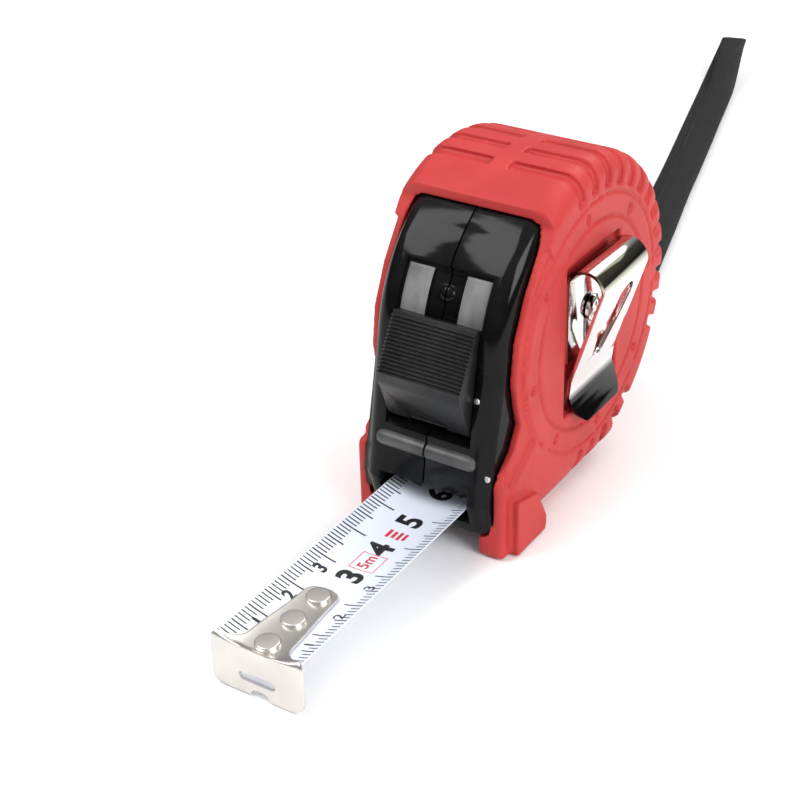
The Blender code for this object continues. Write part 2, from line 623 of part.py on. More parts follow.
def make_post():
    half = CAVITY_HALF_WIDTH - GAP
    washer = flange_inner_x() + FLANGE_THICKNESS + RUNNING_GAP
    profile = [(-half, POST_RADIUS + 0.002), (-washer, POST_RADIUS + 0.002), (-washer, POST_RADIUS),
               (washer, POST_RADIUS), (washer, POST_RADIUS + 0.002), (half, POST_RADIUS + 0.002)]
    return turned("centre_post", profile, 0.0, AXIS_Z, ROUND_STEPS // 2)


# ---- lock ---------------------------------------------------------------
def make_slider():
    """Thumb slider: it follows the case's front about the drum's axis."""
    inner = CASE_RADIUS - RECESS_DEPTH + GAP
    turns = [SLIDER_TOP_ANGLE + (SLIDER_FOOT_ANGLE - SLIDER_TOP_ANGLE) * s / 12 for s in range(13)]
    inside = []
    for turn in turns:
        y, z = polar(inner, turn)
        inside.append((y, z))
    skirt = polar(CASE_RADIUS + 0.0040, SLIDER_FOOT_ANGLE)
    outside = [skirt, polar(SLIDER_THUMB_RADIUS - 0.0012, SLIDER_THUMB_ANGLE + math.radians(4)),
               polar(SLIDER_THUMB_RADIUS, SLIDER_THUMB_ANGLE + math.radians(1)),
               polar(SLIDER_THUMB_RADIUS - 0.0004, SLIDER_THUMB_ANGLE - math.radians(1)),
               polar(CASE_RADIUS + 0.0018, SLIDER_TOP_ANGLE + math.radians(2)),
               polar(CASE_RADIUS + 0.0012, SLIDER_TOP_ANGLE)]
    slider = pivoted(prism("lock_slider", inside + outside, -SLIDER_HALF_WIDTH, SLIDER_HALF_WIDTH))
    neck = sector("slider_neck", BRAKE_RADIUS + GAP, inner + 0.0010, NECK_ANGLE - NECK_HALF_ANGLE,
                  NECK_ANGLE + NECK_HALF_ANGLE, NECK_HALF_WIDTH, steps=3)
    join(slider, neck)
    return slider


def make_brake():
    return pivoted(sector("brake_arm", BRAKE_RADIUS - BRAKE_THICKNESS, BRAKE_RADIUS, BRAKE_TOP_ANGLE,
                          BRAKE_END_ANGLE, BRAKE_HALF_WIDTH, steps=20))


# ---- belt clip ----------------------------------------------------------
def clip_path():
    """The clip's side view as (x, z), from the leaf's lower end over the bend to the lip."""
    half = CLIP_THICKNESS / 2
    leaf = CLIP_LEAF_X + half
    plate = leaf + 2 * CLIP_STAND_OFF
    touch = CLIP_LEAF_X + GAP + half
    path = [(leaf, CLIP_TOP_Z - CLIP_LEAF_LENGTH), (leaf, CLIP_TOP_Z)]
    for step in range(1, 10):
        turn = math.pi * step / 10
        path.append((leaf + CLIP_STAND_OFF * (1 - math.cos(turn)), CLIP_TOP_Z + CLIP_STAND_OFF * math.sin(turn)))
    return path + [(plate, CLIP_TOP_Z), (touch, CLIP_TOUCH_Z), (touch + CLIP_LIP_OUT, CLIP_LIP_Z)]


def thick_path(path, thickness):
    """The closed outline of a bent strip whose middle follows the path."""
    left, right = [], []
    for index, (a, b) in enumerate(path):
        before = path[max(index - 1, 0)]
        after = path[min(index + 1, len(path) - 1)]
        incoming = Vector((a - before[0], b - before[1]))
        outgoing = Vector((after[0] - a, after[1] - b))
        directions = [d.normalized() for d in (incoming, outgoing) if d.length > 1e-9]
        along = sum(directions, Vector((0, 0))).normalized()
        stretch = thickness / 2 / max(along.dot(directions[0]), 0.5)
        left.append((a - along.y * stretch, b + along.x * stretch))
        right.append((a + along.y * stretch, b - along.x * stretch))
    return left + right[::-1]


def make_clip():
    outline = thick_path(clip_path(), CLIP_THICKNESS)
    low, high = CLIP_MIDDLE_Y - CLIP_WIDTH / 2, CLIP_MIDDLE_Y + CLIP_WIDTH / 2
    clip = loft("belt_clip", [[(x, y, z) for x, z in outline] for y in (low, high)])
    slot_x = CLIP_LEAF_X + CLIP_STAND_OFF
    slot = slab("clip_slot", [(CLIP_MIDDLE_Y + 0.0035, CLIP_TOP_Z - 0.0040, 0.0014),
                              (CLIP_MIDDLE_Y + 0.0010, CLIP_TOP_Z - 0.0135, 0.0018)],
                slot_x, slot_x + 2 * CLIP_STAND_OFF + OVERCUT)
    cut(clip, slot)
    cut(clip, bar("clip_leaf_hole", CLIP_LEAF_X - OVERCUT, CLIP_LEAF_X + CLIP_THICKNESS + 0.001,
                  CLIP_SCREW_RADIUS + GAP, CLIP_MIDDLE_Y, CLIP_SCREW_Z))
    for side in (-1, 1):
        corner = clip_corner_cutter(f"clip_corner{side}", side)
        cut(clip, corner)
    return clip


def clip_corner_cutter(name, side):
    """Rounds one lower corner of the lip, seen along X."""
    edge = CLIP_MIDDLE_Y + side * CLIP_WIDTH / 2
    radius = 0.0052
    centre_y, centre_z = edge - side * radius, CLIP_LIP_Z - 0.0004 + radius
    arc = [(centre_y + side * radius * math.sin(t), centre_z - radius * math.cos(t))
           for t in (math.pi / 2 * s / 6 for s in range(7))]
    outline = arc + [(edge + side * OVERCUT, centre_z), (edge + side * OVERCUT, CLIP_LIP_Z - OVERCUT),
                     (centre_y, CLIP_LIP_Z - OVERCUT)]
    return prism(name, outline, JACKET_HALF_WIDTH - OVERCUT, JACKET_HALF_WIDTH + 2 * CLIP_STAND_OFF + OVERCUT)


def make_clip_screw():
    seat = CLIP_LEAF_X + CLIP_THICKNESS + GAP
    radius = CLIP_SCREW_HEAD_RADIUS
    profile = [(CAVITY_HALF_WIDTH + GAP, CLIP_SCREW_RADIUS / 2),
               (CAVITY_HALF_WIDTH + 0.0010, CLIP_SCREW_RADIUS), (seat, CLIP_SCREW_RADIUS),
               (seat, radius), (seat + 0.0005, radius), (seat + 0.0011, radius * 0.72),
               (seat + 0.0013, radius * 0.35)]
    return turned("clip_screw", profile, CLIP_MIDDLE_Y, CLIP_SCREW_Z, SMALL_ROUND_STEPS)


def make_case_screw(number):
    y, z = boss_places()[number]
    seat = screw_head_x()
    tip = -(CAVITY_HALF_WIDTH - 0.001 - GAP)
    profile = [(tip, CASE_SCREW_RADIUS * 0.5), (tip + 0.0012, CASE_SCREW_RADIUS), (seat, CASE_SCREW_RADIUS),
               (seat, CASE_SCREW_HEAD_RADIUS), (seat + CASE_SCREW_HEAD_HEIGHT * 0.6, CASE_SCREW_HEAD_RADIUS),
               (seat + CASE_SCREW_HEAD_HEIGHT, CASE_SCREW_HEAD_RADIUS * 0.7)]
    return turned(f"case_screw_{number + 1}", profile, y, z, SMALL_ROUND_STEPS)


# ---- strap --------------------------------------------------------------
STRAP_FLOOR_Z = 1.5 * GAP + STRAP_THICKNESS  # middle of the two legs where they lie flat
STRAP_ROUTE = [  # middle of the two legs, from the pin to where the far loop starts
    (0.0, *STRAP_PIN_PLACE), (0.0, 0.0298, 0.0120), (-0.0003, 0.0370, 0.0068), (-0.0014, 0.0440, 0.0034),
    (-0.0040, 0.0530, STRAP_FLOOR_Z + 0.0003), (-0.0078, 0.0640, STRAP_FLOOR_Z),
    (-0.0122, 0.0780, STRAP_FLOOR_Z),
    (-0.0170, 0.0950, STRAP_FLOOR_Z), (-0.0222, 0.1140, STRAP_FLOOR_Z), (-0.0279, 0.1340, STRAP_FLOOR_Z),
    (-0.0345, 0.1590, STRAP_FLOOR_Z), (-0.0427, 0.1890, STRAP_FLOOR_Z), (-0.0495, 0.2140, STRAP_FLOOR_Z),
    (-0.0556, 0.2360, STRAP_FLOOR_Z),
]


def smooth_share(value, low, high):
    share = min(max((value - low) / (high - low), 0.0), 1.0)
    return share * share * (3 - 2 * share)


def smooth_route(points, per_span=5):
    """A smooth curve (Catmull-Rom) through the route's points."""
    vectors = [Vector(point) for point in points]
    vectors = [2 * vectors[0] - vectors[1]] + vectors + [2 * vectors[-1] - vectors[-2]]
    curve = []
    for a, b, c, d in zip(vectors, vectors[1:], vectors[2:], vectors[3:]):
        for step in range(per_span):
            t = step / per_span
            curve.append(0.5 * (2 * b + (c - a) * t + (2 * a - 5 * b + 4 * c - d) * t ** 2
                                + (3 * b - a - 3 * c + d) * t ** 3))
    return curve + [vectors[-2]]


def strap_path():
    """(point, level direction across) all the way round the strap: out on the lower leg, over the far loop,
    back on the upper leg and about the pin."""
    middle = smooth_route(STRAP_ROUTE)
    lower, upper = [], []
    for index, point in enumerate(middle):
        along = (middle[min(index + 1, len(middle) - 1)] - middle[max(index - 1, 0)]).normalized()
        side = along.cross(Vector((0, 0, 1))).normalized()
        up = side.cross(along).normalized()
        lying = smooth_share(point.y, STRAP_PIN_PLACE[0] + 0.006, 0.060)
        lift = STRAP_BEND + ((STRAP_THICKNESS + GAP) / 2 - STRAP_BEND) * lying
        rise = 2 * STRAP_LOOP_RADIUS * smooth_share(point.y, middle[-1].y - 0.026, middle[-1].y)
        step = STRAP_SIDE_STEP / 2 * lying
        lower.append((point - up * lift - side * step, side))
        upper.append((point + up * (lift + rise) + side * step, side))
    toward_pin = -Vector((0, math.cos(STRAP_ANGLE), math.sin(STRAP_ANGLE)))
    return lower + half_turn(lower[-1], upper[-1], along) + upper[::-1] + half_turn(upper[0], lower[0], toward_pin)


def half_turn(start, end, outward, steps=9):
    """The strap's middle round half a circle that bulges outward, between two of its places."""
    middle, radius = (start[0] + end[0]) / 2, (end[0] - start[0]).length / 2
    toward = (start[0] - middle).normalized()
    turns = [math.pi * step / (steps + 1) for step in range(1, steps + 1)]
    return [(middle + radius * (toward * math.cos(t) + outward * math.sin(t)), start[1]) for t in turns]


def make_strap():
    """A flat strip along the strap's path, closed on itself."""
    path = strap_path()
    rings = []
    for index, (point, across) in enumerate(path):
        along = (path[(index + 1) % len(path)][0] - path[index - 1][0]).normalized()
        wide, thick = across * STRAP_WIDTH / 2, across.cross(along).normalized() * STRAP_THICKNESS / 2
        rings.append([point - wide - thick, point + wide - thick, point + wide + thick, point - wide + thick])
    return loft("wrist_strap", rings, closed=True)


def make_strap_pin():
    y, z = STRAP_PIN_PLACE
    reach = STRAP_POCKET_HALF_WIDTH + 0.0018 - GAP
    return turned("strap_pin", [(-reach, STRAP_PIN_RADIUS), (reach, STRAP_PIN_RADIUS)], y, z, SMALL_ROUND_STEPS)


# ---- assembly -----------------------------------------------------------
clear_scene()
PARTS = make_collection("tape_measure")
CUTTERS = make_collection("cutters")

GLOSS_BLACK = make_material("gloss_black_plastic", (0.012, 0.012, 0.013), 0.16)
SATIN_BLACK = make_material("satin_black_plastic", (0.014, 0.014, 0.015), 0.42)
RED_RUBBER = make_material("red_rubber", (0.62, 0.045, 0.045), 0.55)
BLADE_WHITE = make_material("blade_white", (0.78, 0.82, 0.90), 0.38)
NICKEL = make_material("nickel", (0.62, 0.59, 0.55), 0.30, 1.0)
CHROME = make_material("chrome", (0.80, 0.80, 0.80), 0.08, 1.0)
GREY_PLASTIC = make_material("grey_plastic", (0.30, 0.31, 0.32), 0.50)
SPRING_STEEL = make_material("spring_steel", (0.32, 0.34, 0.38), 0.35, 1.0)
BLACK_STRAP = make_material("black_strap", (0.020, 0.020, 0.022), 0.60)

piece(make_case_half("case_right", 1), GLOSS_BLACK)
piece(make_case_half("case_left", -1), GLOSS_BLACK)
piece(make_jacket(), RED_RUBBER)
piece(make_blade(), BLADE_WHITE)
piece(make_hook(), NICKEL)
for rivet in range(len(RIVET_PLACES)):
    piece(make_rivet(rivet), NICKEL)
piece(make_spool(), GREY_PLASTIC)
piece(make_spring_cover(), GREY_PLASTIC)
piece(make_coil(), BLADE_WHITE)
piece(make_power_spring(), SPRING_STEEL)
piece(make_post(), NICKEL)
piece(make_slider(), SATIN_BLACK)
piece(make_brake(), SATIN_BLACK)
piece(make_clip(), CHROME)
piece(make_clip_screw(), CHROME)
for screw in range(len(boss_places())):
    piece(make_case_screw(screw), NICKEL)
piece(make_strap(), BLACK_STRAP)
piece(make_strap_pin(), NICKEL)
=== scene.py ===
"""Looks of the pocket tape measure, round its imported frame.

Fine shells stand in for the CAD's, and the blade's print, the materials and the room are added.
"""

import math

import bmesh
import bpy
from mathutils import Matrix, Vector


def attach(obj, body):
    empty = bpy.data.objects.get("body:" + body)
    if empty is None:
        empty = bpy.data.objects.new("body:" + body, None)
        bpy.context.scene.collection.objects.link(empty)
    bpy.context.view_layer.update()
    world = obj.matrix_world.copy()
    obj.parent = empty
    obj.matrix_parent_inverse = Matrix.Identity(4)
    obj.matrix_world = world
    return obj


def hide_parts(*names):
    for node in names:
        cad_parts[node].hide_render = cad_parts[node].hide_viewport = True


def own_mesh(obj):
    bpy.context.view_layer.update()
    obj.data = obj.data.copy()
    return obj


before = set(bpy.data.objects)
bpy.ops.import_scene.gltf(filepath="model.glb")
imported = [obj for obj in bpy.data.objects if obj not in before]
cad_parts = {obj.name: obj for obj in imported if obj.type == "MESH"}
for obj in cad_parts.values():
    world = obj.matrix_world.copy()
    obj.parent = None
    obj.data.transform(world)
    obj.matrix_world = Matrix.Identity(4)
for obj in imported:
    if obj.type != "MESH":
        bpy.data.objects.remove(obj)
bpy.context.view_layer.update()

# ---- sizes, in metres, as in the CAD ------------------------------------
GAP = 0.0003
AXIS_Z = 0.037
CASE_RADIUS = 0.0322
CASE_HALF_WIDTH = 0.0144
CASE_EDGE_RADIUS = 0.0035
NOSE_REACH = 0.0372
MOUTH_HALF_WIDTH = 0.0101
MOUTH_TOP_Z = 0.0141
MOUTH_FLOOR_Z = 0.0076
JACKET_RADIUS = 0.0345
JACKET_HALF_WIDTH = 0.0172
JACKET_INNER_HALF_WIDTH = 0.0147
JACKET_EDGE_RADIUS = 0.0045
JACKET_KEEL_RADIUS = 0.0095
FOOT_FRONT = 0.0350
FOOT_BACK = 0.0180
FOOT_INNER_X = 0.0115
FOOT_HEIGHT = 0.0185
BLADE_HALF_CHORD = 0.0092
BLADE_SAG = 0.0019
BLADE_THICKNESS = 0.00025
BLADE_Z = 0.0088
HOOK_Y = -0.0916
BLADE_INNER_Y = -0.029
SLIDER_HALF_WIDTH = 0.0092
OVERCUT = 0.002  # how far a cutter runs past what it cuts
ROOT = 0.0006  # how far a dome or a head runs down into what it stands on

# ---- camera -------------------------------------------------------------
CAMERA_AZIMUTH = 33.727
CAMERA_ELEVATION = 30.944
CAMERA_ROLL = 1.672
CAMERA_TARGET = Vector((0.01171, -0.06159, 0.04955))
CAMERA_DISTANCE = 0.299545
CAMERA_LENS = 78.75


def make_camera():
    camera = bpy.data.objects.new("camera", bpy.data.cameras.new("camera"))
    camera.data.lens = CAMERA_LENS
    camera.data.sensor_width = 36.0
    camera.data.clip_start = 0.01
    turn = Matrix.Rotation(math.radians(CAMERA_AZIMUTH), 4, "Z")
    tilt = Matrix.Rotation(math.radians(90 - CAMERA_ELEVATION), 4, "X")
    roll = Matrix.Rotation(math.radians(-CAMERA_ROLL), 4, "Z")
    aim = turn @ tilt @ roll
    back = Matrix.Translation((0, 0, CAMERA_DISTANCE))
    camera.matrix_world = Matrix.Translation(CAMERA_TARGET) @ aim @ back
    bpy.context.scene.collection.objects.link(camera)
    bpy.context.scene.camera = camera


# ---- helpers ------------------------------------------------------------
def new_object(name, bm, sharp_angle=35):
    bmesh.ops.recalc_face_normals(bm, faces=bm.faces[:])
    mesh = bpy.data.meshes.new(name)
    bm.to_mesh(mesh)
    bm.free()
    mesh.shade_smooth()
    mesh.set_sharp_from_angle(angle=math.radians(sharp_angle))
    obj = bpy.data.objects.new(name, mesh)
    bpy.context.scene.collection.objects.link(obj)
    return obj


def loft(name, rings, closed=False, sharp_angle=35):
    bm = bmesh.new()
    rows = [[bm.verts.new(point) for point in ring] for ring in rings]
    for low, high in zip(rows, rows[1:] + (rows[:1] if closed else [])):
        for i in range(len(low)):
            j = (i + 1) % len(low)
            bm.faces.new((low[i], low[j], high[j], high[i]))
    if not closed:
        bm.faces.new(list(reversed(rows[0])))
        bm.faces.new(rows[-1])
    return new_object(name, bm, sharp_angle)


def outline_round(discs, inset=0.0, steps=240):
    points = []
    for step in range(steps):
        angle = 2 * math.pi * (step + 0.5) / steps
        along = (math.cos(angle), math.sin(angle))
        y, z, radius = max(discs, key=lambda disc: disc[0] * along[0] + disc[1] * along[1] + disc[2])
        reach = max(radius - inset, 0.0002)
        points.append((y + reach * along[0], z + reach * along[1]))
    return points


def slab(name, discs, x_low, x_high, low_edge=0.0, high_edge=0.0, edge_steps=8, steps=240):
    turns = [math.pi / 2 * step / edge_steps for step in range(edge_steps + 1)]
    stations = [(x_low, 0.0)]
    if low_edge:
        stations = [(x_low + low_edge * (1 - math.sin(t)), low_edge * (1 - math.cos(t)))
                    for t in reversed(turns)]
    if high_edge:
        stations += [(x_high - high_edge * (1 - math.sin(t)), high_edge * (1 - math.cos(t))) for t in turns]
    else:
        stations.append((x_high, 0.0))
    return loft(name, [[(x, y, z) for y, z in outline_round(discs, inset, steps)] for x, inset in stations])


def prism(name, outline, x_low, x_high):
    return loft(name, [[(x, y, z) for y, z in outline] for x in (x_low, x_high)])


def mirrored(obj):
    """The same shape on the other side of the middle plane."""
    obj.data.transform(Matrix.Scale(-1, 4, (1, 0, 0)))
    obj.data.flip_normals()
    return obj


def box(name, low, high):
    bm = bmesh.new()
    bmesh.ops.create_cube(bm, size=1.0)
    for vert in bm.verts:
        vert.co = Vector([(a + b) / 2 + c * (b - a) for c, a, b in zip(vert.co, low, high)])
    return new_object(name, bm)


def turned(name, profile, y, z, steps=72):
    rings = [[(x, y + radius * math.cos(turn), z + radius * math.sin(turn))
              for turn in (2 * math.pi * s / steps for s in range(steps))] for x, radius in profile]
    return loft(name, rings)


def polar(radius, angle):
    return radius * math.cos(angle), AXIS_Z + radius * math.sin(angle)


def sector(name, inner, outer, start, end, x_low, x_high, steps=24):
    turns = [start + (end - start) * s / steps for s in range(steps + 1)]
    outline = [polar(inner, t) for t in turns] + [polar(outer, t) for t in reversed(turns)]
    return prism(name, outline, x_low, x_high)


def merged(name, objects):
    """Several bodies as one mesh, for cutting or joining with in one step."""
    bm = bmesh.new()
    for obj in objects:
        bm.from_mesh(obj.data)
        bpy.data.objects.remove(obj, do_unlink=True)
    return new_object(name, bm)


def combine(obj, other, operation):
    boolean = obj.modifiers.new(operation, "BOOLEAN")
    boolean.operation = operation
    boolean.solver = "EXACT"
    boolean.object = other
    apply_modifiers(obj)
    bpy.data.objects.remove(other, do_unlink=True)


def cut(obj, other):
    combine(obj, other, "DIFFERENCE")


def join(obj, other):
    combine(obj, other, "UNION")


def apply_modifiers(obj):
    bpy.context.view_layer.update()
    shape = bpy.data.meshes.new_from_object(obj.evaluated_get(bpy.context.evaluated_depsgraph_get()))
    obj.modifiers.clear()
    obj.data = shape


def bevelled(obj, width, segments=3, angle=40):
    bevel = obj.modifiers.new("bevel", "BEVEL")
    bevel.width = width
    bevel.segments = segments
    bevel.limit_method = "ANGLE"
    bevel.angle_limit = math.radians(angle)
    bevel.harden_normals = False
    apply_modifiers(obj)
    obj.data.shade_smooth()
    obj.data.set_sharp_from_angle(angle=math.radians(50))


def melted(obj, voxel, smoothing):
    """One skin with softened edges, as moulded rubber has."""
    remesh = obj.modifiers.new("remesh", "REMESH")
    remesh.mode = "VOXEL"
    remesh.voxel_size = voxel
    smooth = obj.modifiers.new("smooth", "SMOOTH")
    smooth.iterations = smoothing
    smooth.factor = 0.5
    apply_modifiers(obj)
    obj.data.shade_smooth()


def finished(obj, body, slot, material, *nodes):
    """Gives a piece its material, its body and the CAD nodes that it stands for."""
    obj.data.materials.clear()
    obj.data.materials.append(material)
    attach(obj, body)
    if nodes:
        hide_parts(*nodes)
    return obj


# ---- materials ----------------------------------------------------------
# Painted reflections for the chrome: its colour ramps by height between these Z values, through the stops
# below.
CHROME_REFLECTION_LOW_Z = 0.018
CHROME_REFLECTION_HIGH_Z = 0.054
CHROME_PAINTED_REFLECTION_STOPS = [  # painted reflection by height: share of the way from the low to the high Z, and the painted reflection's tone there
    (0.215, (0.80, 0.79, 0.78)), (0.86, (0.86, 0.85, 0.83)), (0.89, (0.62, 0.60, 0.52)),
    (0.93, (0.10, 0.10, 0.07)), (0.97, (0.07, 0.07, 0.05)), (0.985, (0.75, 0.74, 0.70)),
]


class Nodes:
    """A material's node tree, with a Principled shader and small helpers."""

    def __init__(self, name):
        self.material = bpy.data.materials.new(name)
        self.material.use_nodes = True
        self.tree = self.material.node_tree
        self.shader = self.tree.nodes["Principled BSDF"]
        self.coordinates = self.tree.nodes.new("ShaderNodeTexCoord").outputs["Object"]

    def set(self, name, value):
        self.shader.inputs[name].default_value = value

    def link(self, output, target):
        self.tree.links.new(output, target)

    def noise(self, scale, detail=4.0, stretch=None):
        node = self.tree.nodes.new("ShaderNodeTexNoise")
        node.inputs["Scale"].default_value = scale
        node.inputs["Detail"].default_value = detail
        source = self.coordinates
        if stretch:
            mapping = self.tree.nodes.new("ShaderNodeMapping")
            mapping.inputs["Scale"].default_value = stretch
            self.link(source, mapping.inputs["Vector"])
            source = mapping.outputs["Vector"]
        self.link(source, node.inputs["Vector"])
        return node.outputs["Fac"]

    def ramp(self, fac, low, high, start=0.3, end=0.7):
        node = self.tree.nodes.new("ShaderNodeValToRGB")
        node.color_ramp.elements[0].position = start
        node.color_ramp.elements[1].position = end
        node.color_ramp.elements[0].color = (*low, 1.0)
        node.color_ramp.elements[1].color = (*high, 1.0)
        self.link(fac, node.inputs["Fac"])
        return node.outputs["Color"]

    def spread(self, fac, low, high):
        node = self.tree.nodes.new("ShaderNodeMapRange")
        node.inputs["To Min"].default_value = low
        node.inputs["To Max"].default_value = high
        self.link(fac, node.inputs["Value"])
        return node.outputs["Result"]

    def skin(self, colour_noise, low, high, rough_noise, smoothest, roughest):
        """Colour and roughness, each varied by its own noise."""
        self.link(self.ramp(colour_noise, low, high), self.shader.inputs["Base Color"])
        self.link(self.spread(rough_noise, smoothest, roughest), self.shader.inputs["Roughness"])

    def bump(self, height, strength, distance, under=None):
        node = self.tree.nodes.new("ShaderNodeBump")
        node.inputs["Strength"].default_value = strength
        node.inputs["Distance"].default_value = distance
        self.link(height, node.inputs["Height"])
        if under is not None:
            self.link(under, node.inputs["Normal"])
        self.link(node.outputs["Normal"], self.shader.inputs["Normal"])
        return node.outputs["Normal"]


def rubber_material():
    nodes = Nodes("red_rubber_skin")
    nodes.skin(nodes.noise(90, 6), (0.44, 0.024, 0.022), (0.52, 0.036, 0.032),
               nodes.noise(1400, 3), 0.46, 0.62)
    fine = nodes.bump(nodes.noise(5200, 2), 0.30, 0.00004)
    nodes.bump(nodes.noise(420, 4), 0.10, 0.0001, fine)
    nodes.set("Specular IOR Level", 0.40)
    return nodes.material


def gloss_black_material():
    nodes = Nodes("gloss_black_skin")
    nodes.skin(nodes.noise(260, 5), (0.002, 0.002, 0.0025), (0.005, 0.005, 0.0055),
               nodes.noise(340, 5), 0.07, 0.16)
    nodes.bump(nodes.noise(90, 2), 0.02, 0.00006)
    nodes.set("Specular IOR Level", 0.16)
    return nodes.material


def satin_black_material():
    nodes = Nodes("satin_black_skin")
    nodes.skin(nodes.noise(600, 5), (0.006, 0.006, 0.0065), (0.013, 0.013, 0.014),
               nodes.noise(900, 4), 0.28, 0.44)
    nodes.bump(nodes.noise(6000, 2), 0.20, 0.00003)
    nodes.set("Specular IOR Level", 0.38)
    return nodes.material


def worn_plastic_material(name, low, high):
    """Black plastic painted grey: a painted sheen that stands in for the light it reflects, the grey varied
    by noise.
    """
    nodes = Nodes(name)
    nodes.skin(nodes.noise(240, 5, (1, 1, 0.3)), (low,) * 3, (high,) * 3, nodes.noise(900, 4), 0.30, 0.45)
    nodes.bump(nodes.noise(5200, 2), 0.15, 0.00003)
    return nodes.material


def blade_material():
    nodes = Nodes("blade_lacquer")
    nodes.skin(nodes.noise(120, 5, (1, 0.15, 1)), (0.72, 0.77, 0.88), (0.79, 0.83, 0.92),
               nodes.noise(500, 4, (1, 0.1, 1)), 0.28, 0.42)
    nodes.bump(nodes.noise(2600, 3), 0.08, 0.00003)
    nodes.set("Coat Weight", 0.25)
    return nodes.material


def ink_material(name, low, high):
    nodes = Nodes(name)
    nodes.skin(nodes.noise(900, 4), low, high, nodes.noise(1500, 3), 0.35, 0.55)
    return nodes.material


def nickel_material(name="nickel_skin", low=(0.66, 0.63, 0.595), high=(0.75, 0.715, 0.675),
                    rough=(0.26, 0.36)):
    nodes = Nodes(name)
    nodes.skin(nodes.noise(150, 6), low, high, nodes.noise(700, 5, (1, 6, 1)), *rough)
    nodes.bump(nodes.noise(5200, 2), 0.04, 0.00002)
    nodes.set("Metallic", 1.0)
    return nodes.material


def chrome_material():
    """Bright chrome with painted reflections, its colour set by its height: a painted dark reflection on the
    clip's lip and painted dark stripes along its bend.
    """
    nodes = Nodes("chrome_painted_reflection_skin")
    split = nodes.tree.nodes.new("ShaderNodeSeparateXYZ")
    nodes.link(nodes.coordinates, split.inputs["Vector"])
    height = nodes.tree.nodes.new("ShaderNodeMapRange")
    height.inputs["From Min"].default_value = CHROME_REFLECTION_LOW_Z
    height.inputs["From Max"].default_value = CHROME_REFLECTION_HIGH_Z
    nodes.link(split.outputs["Z"], height.inputs["Value"])
    # Painted reflection: the base colour is dark low on the lip and in stripes along the bend, set by height.
    painted_reflection = nodes.ramp(height.outputs["Result"], (0.035, 0.035, 0.035), (0.05, 0.05, 0.05), 0.0, 0.17)
    stops = painted_reflection.node.color_ramp.elements
    for place, shade in CHROME_PAINTED_REFLECTION_STOPS:
        stops.new(place).color = (*shade, 1.0)
    nodes.link(painted_reflection, nodes.shader.inputs["Base Color"])
    nodes.link(nodes.spread(nodes.noise(420, 4), 0.04, 0.13), nodes.shader.inputs["Roughness"])
    nodes.bump(nodes.noise(60, 1), 0.05, 0.0001)
    nodes.set("Metallic", 1.0)
    return nodes.material


def strap_material():
    nodes = Nodes("woven_black")
    weave = nodes.tree.nodes.new("ShaderNodeTexBrick")
    weave.inputs["Scale"].default_value = 900
    weave.inputs["Mortar Size"].default_value = 0.03
    weave.inputs["Color1"].default_value = (1, 1, 1, 1)
    weave.inputs["Color2"].default_value = (0.72, 0.72, 0.72, 1)
    weave.inputs["Mortar"].default_value = (0.1, 0.1, 0.1, 1)
    nodes.link(nodes.coordinates, weave.inputs["Vector"])
    nodes.skin(nodes.noise(1300, 5), (0.004, 0.004, 0.005), (0.014, 0.014, 0.016),
               nodes.noise(900, 4), 0.42, 0.62)
    nodes.bump(weave.outputs["Color"], 0.55, 0.00012)
    nodes.set("Specular IOR Level", 0.22)
    return nodes.material


def floor_material():
    nodes = Nodes("pale_floor")
    nodes.link(nodes.ramp(nodes.noise(6, 3), (0.90, 0.90, 0.90), (0.92, 0.92, 0.92)),
               nodes.shader.inputs["Base Color"])
    nodes.set("Roughness", 0.7)
    return nodes.material


# ---- strap --------------------------------------------------------------
STRAP_WIDTH = 0.0078
STRAP_THICKNESS = 0.0012
STRAP_ANGLE = math.radians(-40)
STRAP_PIN = Vector((0.0, 0.0282 * math.cos(STRAP_ANGLE), AXIS_Z + 0.0282 * math.sin(STRAP_ANGLE)))
STRAP_BEND = 0.0010 + GAP + STRAP_THICKNESS / 2
STRAP_SIDE_STEP = 0.0033
STRAP_LOOP_RADIUS = 0.0040
STRAP_HALF_OPENING = 0.0052
PIN_STEPS = 8  # points of the strap's turn about its pin
STRAP_FLOOR_Z = 1.5 * GAP + STRAP_THICKNESS
STRAP_ROUTE = [
    tuple(STRAP_PIN), (0.0, 0.0298, 0.0120), (-0.0003, 0.0370, 0.0068), (-0.0014, 0.0440, 0.0034),
    (-0.0040, 0.0530, STRAP_FLOOR_Z + 0.0003), (-0.0078, 0.0640, STRAP_FLOOR_Z),
    (-0.0122, 0.0780, STRAP_FLOOR_Z),
    (-0.0170, 0.0950, STRAP_FLOOR_Z), (-0.0222, 0.1140, STRAP_FLOOR_Z), (-0.0279, 0.1340, STRAP_FLOOR_Z),
    (-0.0345, 0.1590, STRAP_FLOOR_Z), (-0.0427, 0.1890, STRAP_FLOOR_Z), (-0.0495, 0.2140, STRAP_FLOOR_Z),
    (-0.0556, 0.2360, STRAP_FLOOR_Z),
]


def smooth_share(value, low, high):
    share = min(max((value - low) / (high - low), 0.0), 1.0)
    return share * share * (3 - 2 * share)


def smooth_route(points, per_span=9):
    vectors = [Vector(point) for point in points]
    vectors = [2 * vectors[0] - vectors[1]] + vectors + [2 * vectors[-1] - vectors[-2]]
    curve = []
    for a, b, c, d in zip(vectors, vectors[1:], vectors[2:], vectors[3:]):
        for step in range(per_span):
            t = step / per_span
            curve.append(0.5 * (2 * b + (c - a) * t + (2 * a - 5 * b + 4 * c - d) * t ** 2
                                + (3 * b - a - 3 * c + d) * t ** 3))
    return curve + [vectors[-2]]


def half_turn(start, end, outward, steps=18):
    middle, radius = (start[0] + end[0]) / 2, (end[0] - start[0]).length / 2
    toward = (start[0] - middle).normalized()
    turns = [math.pi * step / (steps + 1) for step in range(1, steps + 1)]
    return [(middle + radius * (toward * math.cos(t) + outward * math.sin(t)), start[1]) for t in turns]


